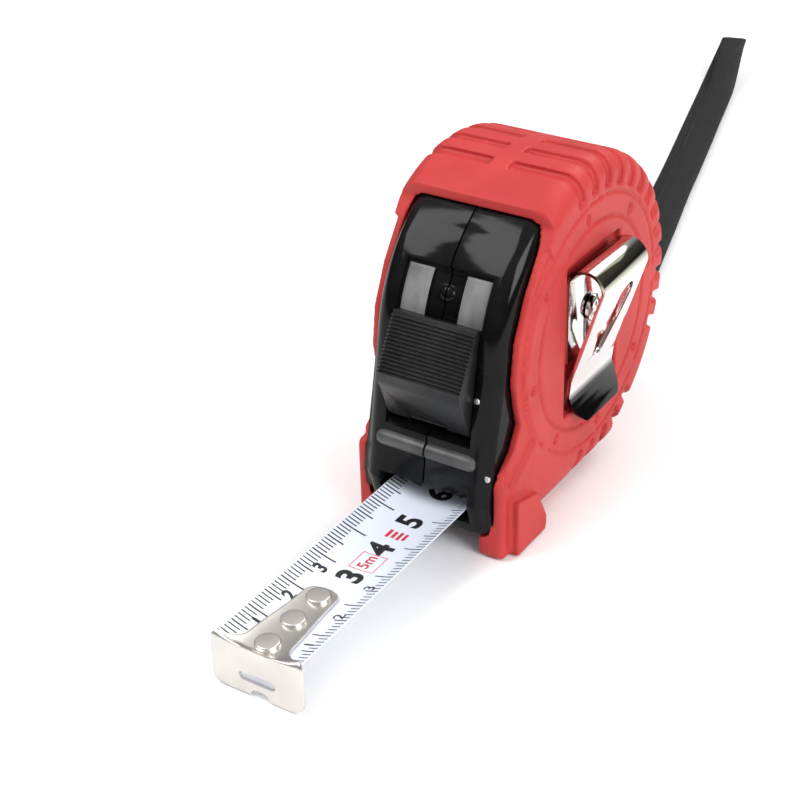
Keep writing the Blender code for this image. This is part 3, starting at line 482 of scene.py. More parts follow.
def strap_path():
    """(point, level direction across): lower leg, far loop, upper leg and about the pin."""
    middle = smooth_route(STRAP_ROUTE)
    lower, upper = [], []
    for index, point in enumerate(middle):
        along = (middle[min(index + 1, len(middle) - 1)] - middle[max(index - 1, 0)]).normalized()
        side = along.cross(Vector((0, 0, 1))).normalized()
        up = side.cross(along).normalized()
        lying = smooth_share(point.y, STRAP_PIN.y + 0.006, 0.060)
        lift = STRAP_BEND + ((STRAP_THICKNESS + GAP) / 2 - STRAP_BEND) * lying
        rise = 2 * STRAP_LOOP_RADIUS * smooth_share(point.y, middle[-1].y - 0.026, middle[-1].y)
        step = STRAP_SIDE_STEP / 2 * lying
        lower.append((point - up * lift - side * step, side))
        upper.append((point + up * (lift + rise) + side * step, side))
    toward_pin = -Vector((0, math.cos(STRAP_ANGLE), math.sin(STRAP_ANGLE)))
    far_loop = half_turn(lower[-1], upper[-1], along)
    return lower + far_loop + upper[::-1] + half_turn(upper[0], lower[0], toward_pin, PIN_STEPS)


def make_strap(material):
    path = strap_path()
    rings = []
    for index, (point, across) in enumerate(path):
        along = (path[(index + 1) % len(path)][0] - path[index - 1][0]).normalized()
        flat = across.cross(along).normalized()
        ring = []
        for step in range(24):
            turn = 2 * math.pi * step / 24
            u, v = math.cos(turn), math.sin(turn)
            wide = math.copysign(abs(u) ** 0.45, u) * STRAP_WIDTH / 2
            thick = math.copysign(abs(v) ** 0.7, v) * STRAP_THICKNESS / 2
            ring.append(point + across * wide + flat * thick)
        rings.append(ring)
    strap = loft("woven_strap", rings, closed=True, sharp_angle=60)
    finished(strap, "case", "black_strap", material, "wrist_strap")


# ---- case ---------------------------------------------------------------
def case_discs(grow=0.0):
    return [
        (0.0, AXIS_Z, CASE_RADIUS + grow),
        (-(NOSE_REACH - 0.0036), 0.0210, 0.0016 + grow),
        (-(NOSE_REACH - 0.0014), 0.0126, 0.0014 + grow),
        (-(NOSE_REACH - 0.0030), 0.0062, 0.0014 + grow),
    ]


PARTING = GAP * 0.6  # of each half from the middle plane
CAVITY_RADIUS = 0.0304
CAVITY_HALF_WIDTH = 0.0126
CAVITY_FRONT = [(-0.0307, 0.0194, 0.0012), (-0.0307, 0.0088, 0.0012)]
RECESS_DEPTH = 0.0010
RECESS_ANGLES = (math.radians(143), math.radians(200))
CHANNEL_DEPTH = 0.0016
CHANNEL_HALF_WIDTH = 0.0034
CHANNEL_ANGLES = (math.radians(144.5), math.radians(172))
NECK_SLOT_INNER = 0.0294
NECK_SLOT_HALF_WIDTH = 0.0032
NECK_SLOT_ANGLES = (math.radians(170.4), math.radians(191.6))
BUMP_ANGLE = math.radians(152)
MOUTH_BAR_PLACE = (-0.0352, 0.0212)
MOUTH_BAR_PROFILE = [(0.0002, 0.0014), (0.0005, 0.0017), (0.0096, 0.0017), (0.0107, 0.0014), (0.0112, 0.0007)]
PAD_ANGLES = (math.radians(144.2), math.radians(172))
FRONT_SCREWS = ((0.0101, -0.0331, 0.0340), (0.0134, -0.0350, 0.0186))


def make_case(material):
    """Both halves: hollow, with the mouth, the slider's recess, the channel above it and a low bump."""
    for name, node, side in (("shell_right", "case_right", 1), ("shell_left", "case_left", -1)):
        shell = slab(name, case_discs(), PARTING, CASE_HALF_WIDTH, high_edge=CASE_EDGE_RADIUS, edge_steps=10)
        cut(shell, slab("hollow", [(0.0, AXIS_Z, CAVITY_RADIUS), *CAVITY_FRONT], -OVERCUT, CAVITY_HALF_WIDTH))
        half = SLIDER_HALF_WIDTH + 0.0004
        cutters = [
            sector("recess", CASE_RADIUS - RECESS_DEPTH, CASE_RADIUS + 0.006, *RECESS_ANGLES, -OVERCUT, half),
            sector("channel", CASE_RADIUS - CHANNEL_DEPTH, CASE_RADIUS + 0.006, *CHANNEL_ANGLES,
                   -OVERCUT, CHANNEL_HALF_WIDTH),
            sector("slot", NECK_SLOT_INNER, CASE_RADIUS + 0.004, *NECK_SLOT_ANGLES,
                   -OVERCUT, NECK_SLOT_HALF_WIDTH),
            box("mouth", (-OVERCUT, -NOSE_REACH - OVERCUT, MOUTH_FLOOR_Z),
                (MOUTH_HALF_WIDTH, -0.025, MOUTH_TOP_Z)),
        ]
        for cutter in cutters:
            cut(shell, cutter)
        bump_y, bump_z = polar(CASE_RADIUS - CHANNEL_DEPTH - 0.0002, BUMP_ANGLE)
        bump = dome("bump", 0.0017, 0.0008)
        bump.data.transform(Matrix.Translation((0, bump_y, bump_z))
                            @ Matrix.Rotation(BUMP_ANGLE + math.pi / 2 + math.pi, 4, "X"))
        join(shell, bump)
        keep = box("keep", (PARTING, -0.1, -0.1), (0.1, 0.1, 0.2))
        combine(shell, keep, "INTERSECT")
        bevelled(shell, 0.00035, 2)
        if side < 0:
            mirrored(shell)
        finished(shell, "case", "gloss_black", material, node)


def make_mouth_bar(material):
    """The rounded bar across the top of the mouth's panel, parted in the middle like the case, painted a
    lighter grey as a painted highlight.
    """
    for side, name in ((1, "mouth_bar_right"), (-1, "mouth_bar_left")):
        bar = turned(name, [(side * x, radius) for x, radius in MOUTH_BAR_PROFILE], *MOUTH_BAR_PLACE, 48)
        finished(bar, "case", "gloss_black", material)


def make_pads(material):
    """The two matte pads above the slider, either side of the channel, painted grey for the soft reflection
    that lies across them.
    """
    for side, name in ((1, "pad_right"), (-1, "pad_left")):
        low, high = sorted((side * 0.0036, side * (SLIDER_HALF_WIDTH - 0.0001)))
        pad = sector(name, CASE_RADIUS - 0.0014, CASE_RADIUS - 0.0009, *PAD_ANGLES, low, high)
        bevelled(pad, 0.00015, 2)
        finished(pad, "case", "gloss_black", material)


def make_small_screws(material):
    """Two little screws in the front of the case, beside the slider and beside the mouth."""
    for number, place in enumerate(FRONT_SCREWS):
        head = flat_head(f"front_screw_{number + 1}", 0.0007, 0.0003, 24)
        head.data.transform(Matrix.Translation(place) @ Matrix.Rotation(math.radians(90), 4, "X"))
        finished(head, "case", "nickel", material)


def quarter_turns(steps, last):
    """Angles from just above zero, in shares of a right angle."""
    return [math.pi / 2 * step / steps for step in range(1, last)]


def upright_round(name, profile, steps):
    """A body turned about Z. The profile is (z, radius), from the foot up."""
    turns = [2 * math.pi * s / steps for s in range(steps)]
    return loft(name, [[(r * math.cos(t), r * math.sin(t), z) for t in turns] for z, r in profile])


def dome(name, radius, height, steps=32):
    """A low dome standing on the XY plane, carried a little below it."""
    profile = [(-ROOT, radius), (0.0, radius)]
    profile += [(height * math.sin(t), radius * math.cos(t)) for t in quarter_turns(8, 8)]
    return upright_round(name, profile, steps)


def flat_head(name, radius, height, steps=48):
    """A rivet's head: a flat disc with a rounded rim."""
    rim = height * 0.6
    profile = [(-ROOT, radius), (height - rim, radius)]
    profile += [(height - rim + rim * math.sin(t), radius - rim * (1 - math.cos(t)))
                for t in quarter_turns(6, 7)]
    profile.append((height + 0.00004, radius * 0.3))
    return upright_round(name, profile, steps)


# ---- jacket -------------------------------------------------------------
RIB_PITCH = math.radians(10.5)
RIB_FIRST = math.radians(-97.5)
RIB_COUNT = 20
RIB_DEPTH = 0.0011
POCKET_WIDTH = 0.0027  # of the hollow between two ribs
RIB_FOOT_RADIUS = 0.0276
RIB_BAND = 0.0021  # half width of the plain band along the middle
CHEEK_RADIUS = 0.0272
CHEEK_DEPTH = 0.0009
CHEEK_ANGLES = (math.radians(128), math.radians(214))
RING_RADII = ((0.0215, 0.0223), (0.0264, 0.0271))
RING_DEPTH = 0.0006
PIP_CIRCLE = 0.0243
PIP_TAIL = 0.0016
PIP_DEPTH = 0.0008
PIP_COUNT = 8
PIP_FIRST = 8  # degrees
FOOT_BLOCK = [(-0.0318, 0.0004), (-0.0318, 0.0130), (-0.0240, 0.0110), (-0.0202, 0.0034), (-0.0206, 0.0004)]
FOOT_BLOCK_X = (0.0155, 0.0186)  # from inside the foot to the face of the block on it
SKIN_VOXEL = 0.00032


def jacket_discs():
    return [
        (0.0, AXIS_Z, JACKET_RADIUS),
        (-(FOOT_FRONT - 0.0046), 0.0068, 0.0036),
        (-(FOOT_FRONT - 0.0050), FOOT_HEIGHT - 0.0060, 0.0036),
        (-0.0120, 0.0040, 0.0040),
        (0.0060, 0.0040, 0.0040),
    ]


def foot_discs():
    return [
        (-(FOOT_FRONT - 0.0016), 0.0016, 0.0016),
        (-(FOOT_FRONT - 0.0020), FOOT_HEIGHT - 0.0020, 0.0020),
        (-(FOOT_BACK + 0.0012), 0.0012, 0.0012),
        (-(FOOT_BACK + 0.0050), FOOT_HEIGHT, 0.0020),
    ]


def window_outline():
    near = [(CASE_RADIUS + 0.012, 114), (CASE_RADIUS - 0.0006, 121), (CASE_RADIUS - 0.0025, 131),
            (CASE_RADIUS - 0.0032, 146), (CASE_RADIUS - 0.0032, 164), (CASE_RADIUS - 0.0032, 180),
            (CASE_RADIUS - 0.0036, 192), (CASE_RADIUS - 0.0036, 200)]
    edge = [polar(radius, math.radians(angle)) for radius, angle in near]
    front = -(FOOT_FRONT + 0.010)
    return edge + [(-(FOOT_FRONT - 0.0055), FOOT_HEIGHT + 0.0040), (-(FOOT_FRONT - 0.0005), FOOT_HEIGHT),
                   (front, FOOT_HEIGHT), (front, AXIS_Z * 2)]


def keel_section():
    half, high, radius = JACKET_HALF_WIDTH, AXIS_Z + JACKET_RADIUS + OVERCUT, JACKET_KEEL_RADIUS
    turns = [math.pi / 2 * s / 16 for s in range(17)]
    outline = [(half - radius + radius * math.sin(t), radius - radius * math.cos(t)) for t in turns]
    outline += [(half + OVERCUT, radius + OVERCUT), (half + OVERCUT, high)]
    outline += [(-x, z) for x, z in reversed(outline)]
    return loft("keel", [[(x, y, z) for x, z in outline] for y in (-0.04, 0.04)])


def rib_pocket(side, angle):
    """The hollow between two ribs: across the outside, round the edge and down the side."""
    edge, round_end = JACKET_EDGE_RADIUS, JACKET_RADIUS - RIB_DEPTH
    centre = (JACKET_HALF_WIDTH - edge, JACKET_RADIUS - edge)
    bend = edge - RIB_DEPTH
    outline = [(RIB_BAND, round_end)]
    outline += [(centre[0] + bend * math.sin(t), centre[1] + bend * math.cos(t))
                for t in (math.pi / 2 * s / 8 for s in range(9))]
    outline += [(JACKET_HALF_WIDTH - RIB_DEPTH, RIB_FOOT_RADIUS + 0.0008),
                (JACKET_HALF_WIDTH + 0.001, RIB_FOOT_RADIUS),
                (JACKET_HALF_WIDTH + 0.001, JACKET_RADIUS + OVERCUT), (RIB_BAND, JACKET_RADIUS + OVERCUT)]
    half = POCKET_WIDTH / 2
    pocket = loft("pocket", [[(side * x, y, z) for x, z in outline] for y in (-half, half)])
    pocket.data.transform(Matrix.Translation((0, 0, AXIS_Z)) @ Matrix.Rotation(angle - math.pi / 2, 4, "X"))
    return pocket


def rib_grooves():
    """Every hollow between ribs, apart from those at the strap's opening."""
    angles = [RIB_FIRST + RIB_PITCH * number for number in range(RIB_COUNT)]
    return merged("pockets", [rib_pocket(side, angle) for angle in angles for side in (-1, 1)
                              if abs(angle - STRAP_ANGLE) > math.radians(9)])


def cheek_steps():
    """What makes the two front cheeks lie a little lower than the round side discs."""
    cheeks = []
    for side in (-1, 1):
        low, high = sorted((side * (JACKET_HALF_WIDTH - CHEEK_DEPTH), side * (JACKET_HALF_WIDTH + OVERCUT)))
        cheeks.append(sector("cheek", CHEEK_RADIUS, 0.0385, *CHEEK_ANGLES, low, high, 60))
    return merged("cheeks", cheeks)


def side_rings():
    """Two shallow channels round each side disc, with drop-shaped pits between them."""
    cutters = []
    for side in (-1, 1):
        x = side * JACKET_HALF_WIDTH
        for inner, outer in RING_RADII:
            ring = turned("ring", [(x - RING_DEPTH, outer), (x + RING_DEPTH, outer)], 0.0, AXIS_Z, 180)
            cut(ring, turned("core", [(x - 0.001, inner), (x + 0.001, inner)], 0.0, AXIS_Z, 180))
            cutters.append(ring)
        for number in range(PIP_COUNT):
            angle = math.radians(PIP_FIRST + 360 / PIP_COUNT * number)
            drop = [(*polar(PIP_CIRCLE, angle), 0.0009), (*polar(PIP_CIRCLE - PIP_TAIL, angle), 0.0003)]
            cutters.append(slab("pip", drop, x - PIP_DEPTH, x + PIP_DEPTH, steps=32))
    return merged("rings", cutters)


def make_jacket(material):
    jacket = slab("moulded_jacket", jacket_discs(), -JACKET_HALF_WIDTH, JACKET_HALF_WIDTH,
                  JACKET_EDGE_RADIUS, JACKET_EDGE_RADIUS)
    combine(jacket, keel_section(), "INTERSECT")
    for side in (-1, 1):
        foot = slab("foot", foot_discs(), FOOT_INNER_X, JACKET_HALF_WIDTH - 0.0004, high_edge=0.0012,
                    edge_steps=4)
        if side < 0:
            mirrored(foot)
        join(jacket, foot)
        low, high = sorted(side * x for x in FOOT_BLOCK_X)
        join(jacket, prism("block", FOOT_BLOCK, low, high))
    cut(jacket, cheek_steps())
    cut(jacket, rib_grooves())
    cut(jacket, side_rings())
    cut(jacket, slab("hollow", case_discs(GAP), -JACKET_INNER_HALF_WIDTH, JACKET_INNER_HALF_WIDTH,
                     CASE_EDGE_RADIUS, CASE_EDGE_RADIUS))
    cut(jacket, prism("window", window_outline(), -0.02, 0.02))
    chin = FOOT_INNER_X - 0.0003
    cut(jacket, box("chin", (-chin, -FOOT_FRONT - OVERCUT, -OVERCUT), (chin, -FOOT_BACK - 0.006, 0.0068)))
    away = Vector((math.cos(STRAP_ANGLE), math.sin(STRAP_ANGLE))) * 0.012
    reach = STRAP_BEND + STRAP_THICKNESS / 2 + 2 * GAP
    cut(jacket, slab("strap_opening", [(STRAP_PIN.y, STRAP_PIN.z, reach),
                                       (STRAP_PIN.y + away.x, STRAP_PIN.z + away.y, reach)],
                     -STRAP_HALF_OPENING, STRAP_HALF_OPENING))
    half = CLIP_WIDTH / 2 + POCKET_MARGIN
    low = (JACKET_INNER_HALF_WIDTH + POCKET_FLOOR, CLIP_MIDDLE_Y - half, CLIP_LIP_Z + POCKET_FOOT)
    cut(jacket, box("clip_pocket", low, (0.02, CLIP_MIDDLE_Y + half, CLIP_TOP_Z + POCKET_HEAD)))
    melted(jacket, SKIN_VOXEL, 3)
    finished(jacket, "case", "red_rubber", material, "rubber_jacket")


# ---- slider -------------------------------------------------------------
SLIDER_TOP = math.radians(161)
SLIDER_FOOT = math.radians(197)
SLIDER_RIBS = 16
NECK_INNER = 0.0297
NECK_ANGLES = (math.radians(185.4), math.radians(190.6))
NECK_HALF_WIDTH = 0.0028
NOTCH_HALF_WIDTH = 0.0042
NOTCH_RADIUS = 0.0019


def make_slider(material):
    """The thumb slider: a ramp with fine ribs across it and a smooth skirt below."""
    inner = CASE_RADIUS - 0.0007
    inside = [polar(inner, SLIDER_TOP + (SLIDER_FOOT - SLIDER_TOP) * s / 24) for s in range(25)]
    top = Vector(polar(CASE_RADIUS + 0.0016, SLIDER_TOP + math.radians(1)))
    crown = Vector(polar(0.0383, math.radians(180)))
    along = (crown - top)
    out = Vector((along.y, -along.x)).normalized()
    if out.x > 0:
        out = -out
    ribs = []
    for number in range(SLIDER_RIBS):
        for share, height in ((0.12, -0.00035), (0.30, 0.0001), (0.60, 0.0001), (0.88, -0.00035)):
            ribs.append(top + along * (number + share) / SLIDER_RIBS + out * height)
    skirt = [Vector(polar(0.0382, math.radians(182.5))), Vector(polar(0.0372, math.radians(185.5))),
             Vector(polar(CASE_RADIUS + 0.0038, SLIDER_FOOT))]
    outside = [Vector(polar(CASE_RADIUS + 0.0012, SLIDER_TOP))] + ribs + skirt
    outline = inside + [tuple(point) for point in reversed(outside)]
    slider = prism("ribbed_slider", outline, -SLIDER_HALF_WIDTH, SLIDER_HALF_WIDTH)
    join(slider, sector("neck", NECK_INNER, inner + 0.001, *NECK_ANGLES, -NECK_HALF_WIDTH, NECK_HALF_WIDTH,
                        6))
    notch_y, notch_z = polar(CASE_RADIUS + 0.0045, SLIDER_FOOT - math.radians(1.5))
    notch = turned("notch", [(-NOTCH_HALF_WIDTH, NOTCH_RADIUS), (NOTCH_HALF_WIDTH, NOTCH_RADIUS)],
                   notch_y - 0.0006, notch_z - 0.0008, 32)
    cut(slider, notch)
    bevelled(slider, 0.00018, 2, 50)
    finished(slider, "lock", "satin_black", material, "lock_slider")


# ---- blade --------------------------------------------------------------
PRINT_LIFT = 0.00002  # of the print above the blade
LAST_MARK = 60  # millimetres from the hook


def blade_height(x, lift=0.0):
    return BLADE_Z + BLADE_SAG * (x / BLADE_HALF_CHORD) ** 2 + lift


def follows_blade(obj):
    """Gives the piece a mesh of its own."""
    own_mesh(obj)


def strip(name, y_values, half_widths, lift, thickness, across=24):
    rings = []
    for y, half in zip(y_values, half_widths):
        xs = [half * (2 * s / across - 1) for s in range(across + 1)]
        under = [(x, y, blade_height(x, lift)) for x in xs]
        rings.append(under + [(x, y, blade_height(x, lift + thickness)) for x in reversed(xs)])
    return loft(name, rings)


def make_blade(material):
    length = BLADE_INNER_Y - HOOK_Y - GAP
    ys = [HOOK_Y + GAP + length * s / 40 for s in range(41)]
    blade = strip("blade_strip_fine", ys, [BLADE_HALF_CHORD] * len(ys), 0.0, BLADE_THICKNESS)
    finished(blade, "blade_strip", "blade_white", material, "blade")
    follows_blade(blade)


def mark_length(millimetre, side):
    if millimetre % 10 == 0:
        return 0.0053 if side < 0 else 0.0040
    if millimetre % 5 == 0:
        return 0.0036 if side < 0 else 0.0028
    return 0.0026 if side < 0 else 0.0019


def ticks_mesh(bm):
    """Millimetre marks along both edges."""
    for millimetre in range(1, LAST_MARK + 1):
        y = HOOK_Y + millimetre * 0.001
        wide = 0.00016 if millimetre % 5 else 0.00019
        for side in (-1, 1):
            length = mark_length(millimetre, side)
            xs = [side * (BLADE_HALF_CHORD - 0.00015 - length * s / 5) for s in range(6)]
            line = wide if side < 0 else wide * 0.75
            rows = [[bm.verts.new((x, y + dy, 0.0)) for x in xs] for dy in (-line, line)]
            for i in range(5):
                bm.faces.new((rows[0][i], rows[0][i + 1], rows[1][i + 1], rows[1][i]))


def printed(bm, words, x, millimetres, size, bold, turn):
    """Adds flat lettering, centred at X and at its distance from the hook, in millimetres."""
    curve = bpy.data.curves.new("lettering", "FONT")
    curve.body = words
    curve.size = size
    curve.offset = bold
    curve.align_x = "CENTER"
    curve.align_y = "CENTER"
    curve.resolution_u = 6
    text = bpy.data.objects.new("lettering", curve)
    bpy.context.scene.collection.objects.link(text)
    bpy.context.view_layer.update()
    mesh = bpy.data.meshes.new_from_object(text.evaluated_get(bpy.context.evaluated_depsgraph_get()))
    bpy.data.objects.remove(text, do_unlink=True)
    place = Matrix.Translation((x, HOOK_Y + millimetres * 0.001, 0)) @ Matrix.Rotation(turn, 4, "Z")
    mesh.transform(place)
    bm.from_mesh(mesh)


def laid_on_blade(name, bm, lift):
    """Flat print turned into an object that follows the blade's curve, just above it."""
    bmesh.ops.triangulate(bm, faces=bm.faces[:])
    for vert in bm.verts:
        vert.co.z = blade_height(vert.co.x, BLADE_THICKNESS + lift)
    mesh = bpy.data.meshes.new(name)
    bm.to_mesh(mesh)
    bm.free()
    obj = bpy.data.objects.new(name, mesh)
    bpy.context.scene.collection.objects.link(obj)
    return obj


FIGURES = [  # centimetre, millimetres from the hook to its left and its right figure
    (1, 7.9, 6.9), (2, 17.1, 16.1), (3, 26.9, 25.9)]
BIG_FIGURES = [(3, 28.1), (4, 38.1), (5, 48.6), (6, 59.4)]
LENGTH_MARK = (0.0013, 33.3, 0.0053)  # X, millimetres from the hook and side of the frame round "5m"
STROKES = (43.4, 64.0)  # millimetres from the hook to each group of red strokes
STROKE_STEP = 0.0012


def make_print(black, red):
    """The scale in black, and the length mark and a plain group of strokes in red."""
    bm = bmesh.new()
    ticks_mesh(bm)
    facing = math.radians(90)
    for centimetre, left, right in FIGURES:
        printed(bm, str(centimetre), -0.0050, left, 0.0038, 0.00015, facing)
        printed(bm, str(centimetre), 0.0067, right, 0.0032, 0.00004, facing)
    for centimetre, place in BIG_FIGURES:
        printed(bm, str(centimetre), 0.0011, place, 0.0072, 0.00026, facing)
    marks = laid_on_blade("blade_marks", bm, PRINT_LIFT)
    finished(marks, "blade_strip", "blade_white", black)
    follows_blade(marks)
    bm = bmesh.new()
    x, place, side = LENGTH_MARK
    printed(bm, "5m", 0.0011, 33.4, 0.0034, 0.00007, facing)
    frame_box(bm, x, place, side, side)
    for place in STROKES:
        y = HOOK_Y + place * 0.001
        for part in range(4):
            rectangle(bm, STROKE_STEP * (part - 0.5), y, 0.0007, 0.0026 - 0.0004 * (part % 2))
    badge = laid_on_blade("blade_red_marks", bm, PRINT_LIFT)
    finished(badge, "blade_strip", "blade_white", red)
    follows_blade(badge)


def frame_box(bm, x, millimetres, along_x, along_y, line=0.00018):
    """A thin printed frame."""
    y = HOOK_Y + millimetres * 0.001
    for dx in (-1, 1):
        rectangle(bm, x + dx * along_x / 2, y, line, along_y + line)
    for dy in (-1, 1):
        for part in range(6):
            part_x = x - along_x / 2 + along_x * (part + 0.5) / 6
            rectangle(bm, part_x, y + dy * along_y / 2, along_x / 6, line)


def rectangle(bm, x, y, wide, high):
    corners = [(-1, -1), (1, -1), (1, 1), (-1, 1)]
    bm.faces.new([bm.verts.new((x + a * wide / 2, y + b * high / 2, 0)) for a, b in corners])


# ---- hook ---------------------------------------------------------------
HOOK_HALF_WIDTH = 0.0099
HOOK_THICKNESS = 0.0009
TONGUE_LENGTH = 0.0221
TONGUE_THICKNESS = 0.0006
TONGUE_START = 0.0006  # from the hook's inner face
TONGUE_ROOT = BLADE_HALF_CHORD - 0.0004
TONGUE_WAIST = 0.0048
TONGUE_END = 0.0035
TONGUE_FLARE = 0.20  # share of its length along which it flares out to its root
TONGUE_ROUND = 0.88  # share of its length where its rounded end begins
HOOK_BEND = 0.0013
PLATE_FOOT_Z = 0.0004
NAIL_SLOT = (0.0, 0.0041, 0.0080, 0.0019)  # X, Z, length and height
HOOK_NOTCH = (0.0005, 0.0003, 0.0042, 0.0030)
RIVET_PLACES = (0.0036, 0.0113, 0.0191)
RIVET_HEAD_RADIUS = 0.0024


def tongue_half_width(share):
    """Half the tongue's width, from the bend (0) to its rounded end (1)."""
    if share > TONGUE_ROUND:
        return TONGUE_END * math.sqrt(max(1 - ((share - TONGUE_ROUND) / 0.124) ** 2, 0.02))
    half = TONGUE_WAIST + (TONGUE_END - TONGUE_WAIST) * smooth_share(share, 0.08, 0.90)
    if share < TONGUE_FLARE:
        half += (TONGUE_ROOT - TONGUE_WAIST) * (1 - share / TONGUE_FLARE) ** 3
    return half


def hook_plate(top_rows):
    """A sheet through rows of points, thickened inwards."""
    bm = bmesh.new()
    grid = [[bm.verts.new(point) for point in row] for row in top_rows]
    for low, high in zip(grid, grid[1:]):
        for i in range(len(low) - 1):
            bm.faces.new((low[i], low[i + 1], high[i + 1], high[i]))
    plate = new_object("plate", bm)
    solid = plate.modifiers.new("solidify", "SOLIDIFY")
    solid.thickness = HOOK_THICKNESS * 0.8
    solid.offset = -1
    apply_modifiers(plate)
    return plate


def make_hook(material):
    """The hook: a tapering tongue on the blade, bent down into a plate with a nail slot and a notch."""
    lift = BLADE_THICKNESS + GAP * 0.5
    shares = [s / 120 for s in range(12)] + [0.1 + 0.9 * s / 40 for s in range(41)]
    tongue_ys = [HOOK_Y + TONGUE_START + (TONGUE_LENGTH - TONGUE_START) * share for share in shares]
    tongue = strip("pressed_hook", tongue_ys, [tongue_half_width(share) for share in shares], lift,
                   TONGUE_THICKNESS)
    count = 24
    rows = []
    for step in range(10):
        turn = math.pi / 2 * step / 9
        widen = smooth_share(step / 9, 0.0, 1.0)
        half = TONGUE_ROOT + (HOOK_HALF_WIDTH - TONGUE_ROOT) * widen
        y, drop = HOOK_Y + 0.0012 - HOOK_BEND * math.sin(turn), HOOK_BEND * (1 - math.cos(turn))
        rows.append([plate_point(s / count, y, drop, half, 1 - widen, lift + TONGUE_THICKNESS)
                     for s in range(count + 1)])
    face_y = rows[-1][0][1]
    plate_top = max(point[2] for point in rows[-1])
    for step in range(1, 9):
        z = plate_top + (PLATE_FOOT_Z - plate_top) * step / 8
        corner = {7: 0.0004, 8: 0.0018}.get(step, 0.0)
        half = HOOK_HALF_WIDTH + 0.0002 * step / 8 - corner
        rows.append([(half * (2 * s / count - 1), face_y - 0.00002 * step, z) for s in range(count + 1)])
    join(tongue, hook_plate(rows))
    cut(tongue, rounded_slot("slot", *NAIL_SLOT))
    cut(tongue, rounded_slot("notch", *HOOK_NOTCH))
    bevelled(tongue, 0.00014, 2, 45)
    finished(tongue, "hook", "nickel", material, "end_hook")


def plate_point(share, y, drop, half, hollow, lift):
    """A point across the bend, whose section goes from the blade's curve (hollow 1) to level (hollow 0)."""
    x = half * (2 * share - 1)
    level = blade_height(BLADE_HALF_CHORD, lift) - 0.0003
    curved = blade_height(x, lift)
    return x, y, curved * hollow + level * (1 - hollow) - drop


def rounded_slot(name, x, z, long, high):
    """A slot right through the hook's plate."""
    points = []
    for centre, start in ((long / 2 - high / 2, -math.pi / 2), (-(long / 2 - high / 2), math.pi / 2)):
        for step in range(9):
            turn = start + math.pi * step / 8
            points.append((x + centre + high / 2 * math.cos(turn), z + high / 2 * math.sin(turn)))
    return loft(name, [[(px, y, pz) for px, pz in points] for y in (HOOK_Y - 0.003, HOOK_Y + 0.001)])


def make_rivets(material):
    for number, place in enumerate(RIVET_PLACES):
        head = flat_head(f"rivet_head_{number + 1}", RIVET_HEAD_RADIUS, 0.0006)
        seat = BLADE_Z + BLADE_THICKNESS + TONGUE_THICKNESS + GAP
        head.data.transform(Matrix.Translation((0, HOOK_Y + place, seat)))
        finished(head, "blade_strip", "nickel", material, f"hook_rivet_{number + 1}")


# ---- belt clip ----------------------------------------------------------
CLIP_WIDTH = 0.0184
CLIP_MIDDLE_Y = -0.0004
CLIP_THICKNESS = 0.0008
CLIP_STAND_OFF = 0.0038
CLIP_TOP_Z = 0.0493
CLIP_LEAF_LENGTH = 0.0170
CLIP_TOUCH_Z = 0.0262
CLIP_LIP_Z = 0.0188
CLIP_LIP_OUT = 0.0034
POCKET_MARGIN = 0.0018  # of the jacket's pocket, beside the clip
POCKET_FOOT = 0.002  # above the clip's lip
POCKET_HEAD = 0.0044  # above the middle of the clip's bend
POCKET_FLOOR = 0.0009  # rubber left under the clip's leaf
CLIP_LEAF_X = JACKET_INNER_HALF_WIDTH + POCKET_FLOOR + GAP
CLIP_SCREW_Z = 0.0410
CLIP_SCREW_RADIUS = 0.0012
CLIP_SCREW_HEAD_RADIUS = 0.0028
CLIP_CORNER_RADIUS = 0.0052


def clip_path():
    """The clip's (x, z) middle line: leaf, bend, plate and lip."""
    half = CLIP_THICKNESS / 2
    leaf = CLIP_LEAF_X + half
    plate = leaf + 2 * CLIP_STAND_OFF
    touch = CLIP_LEAF_X + half + GAP
    path = [(leaf, CLIP_TOP_Z - CLIP_LEAF_LENGTH), (leaf, CLIP_TOP_Z)]
    for step in range(1, 24):
        turn = math.pi * step / 24
        path.append((leaf + CLIP_STAND_OFF * (1 - math.cos(turn)),
                     CLIP_TOP_Z + CLIP_STAND_OFF * math.sin(turn)))
    path += [(plate + (touch - plate) * share, CLIP_TOP_Z + (CLIP_TOUCH_Z - CLIP_TOP_Z) * share)
             for share in (0.0, 0.3, 0.6, 0.9)]
    for step in range(1, 6):
        share = step / 5
        path.append((touch + CLIP_LIP_OUT * share ** 1.5, CLIP_TOUCH_Z + (CLIP_LIP_Z - CLIP_TOUCH_Z) * share))
    return path


def thick_path(path, thickness):
    """The outline of a strip that follows a path."""
    left, right = [], []
    for index, (a, b) in enumerate(path):
        before = path[max(index - 1, 0)]
        after = path[min(index + 1, len(path) - 1)]
        along = Vector((after[0] - before[0], after[1] - before[1])).normalized()
        left.append((a - along.y * thickness / 2, b + along.x * thickness / 2))
        right.append((a + along.y * thickness / 2, b - along.x * thickness / 2))
    return left + right[::-1]


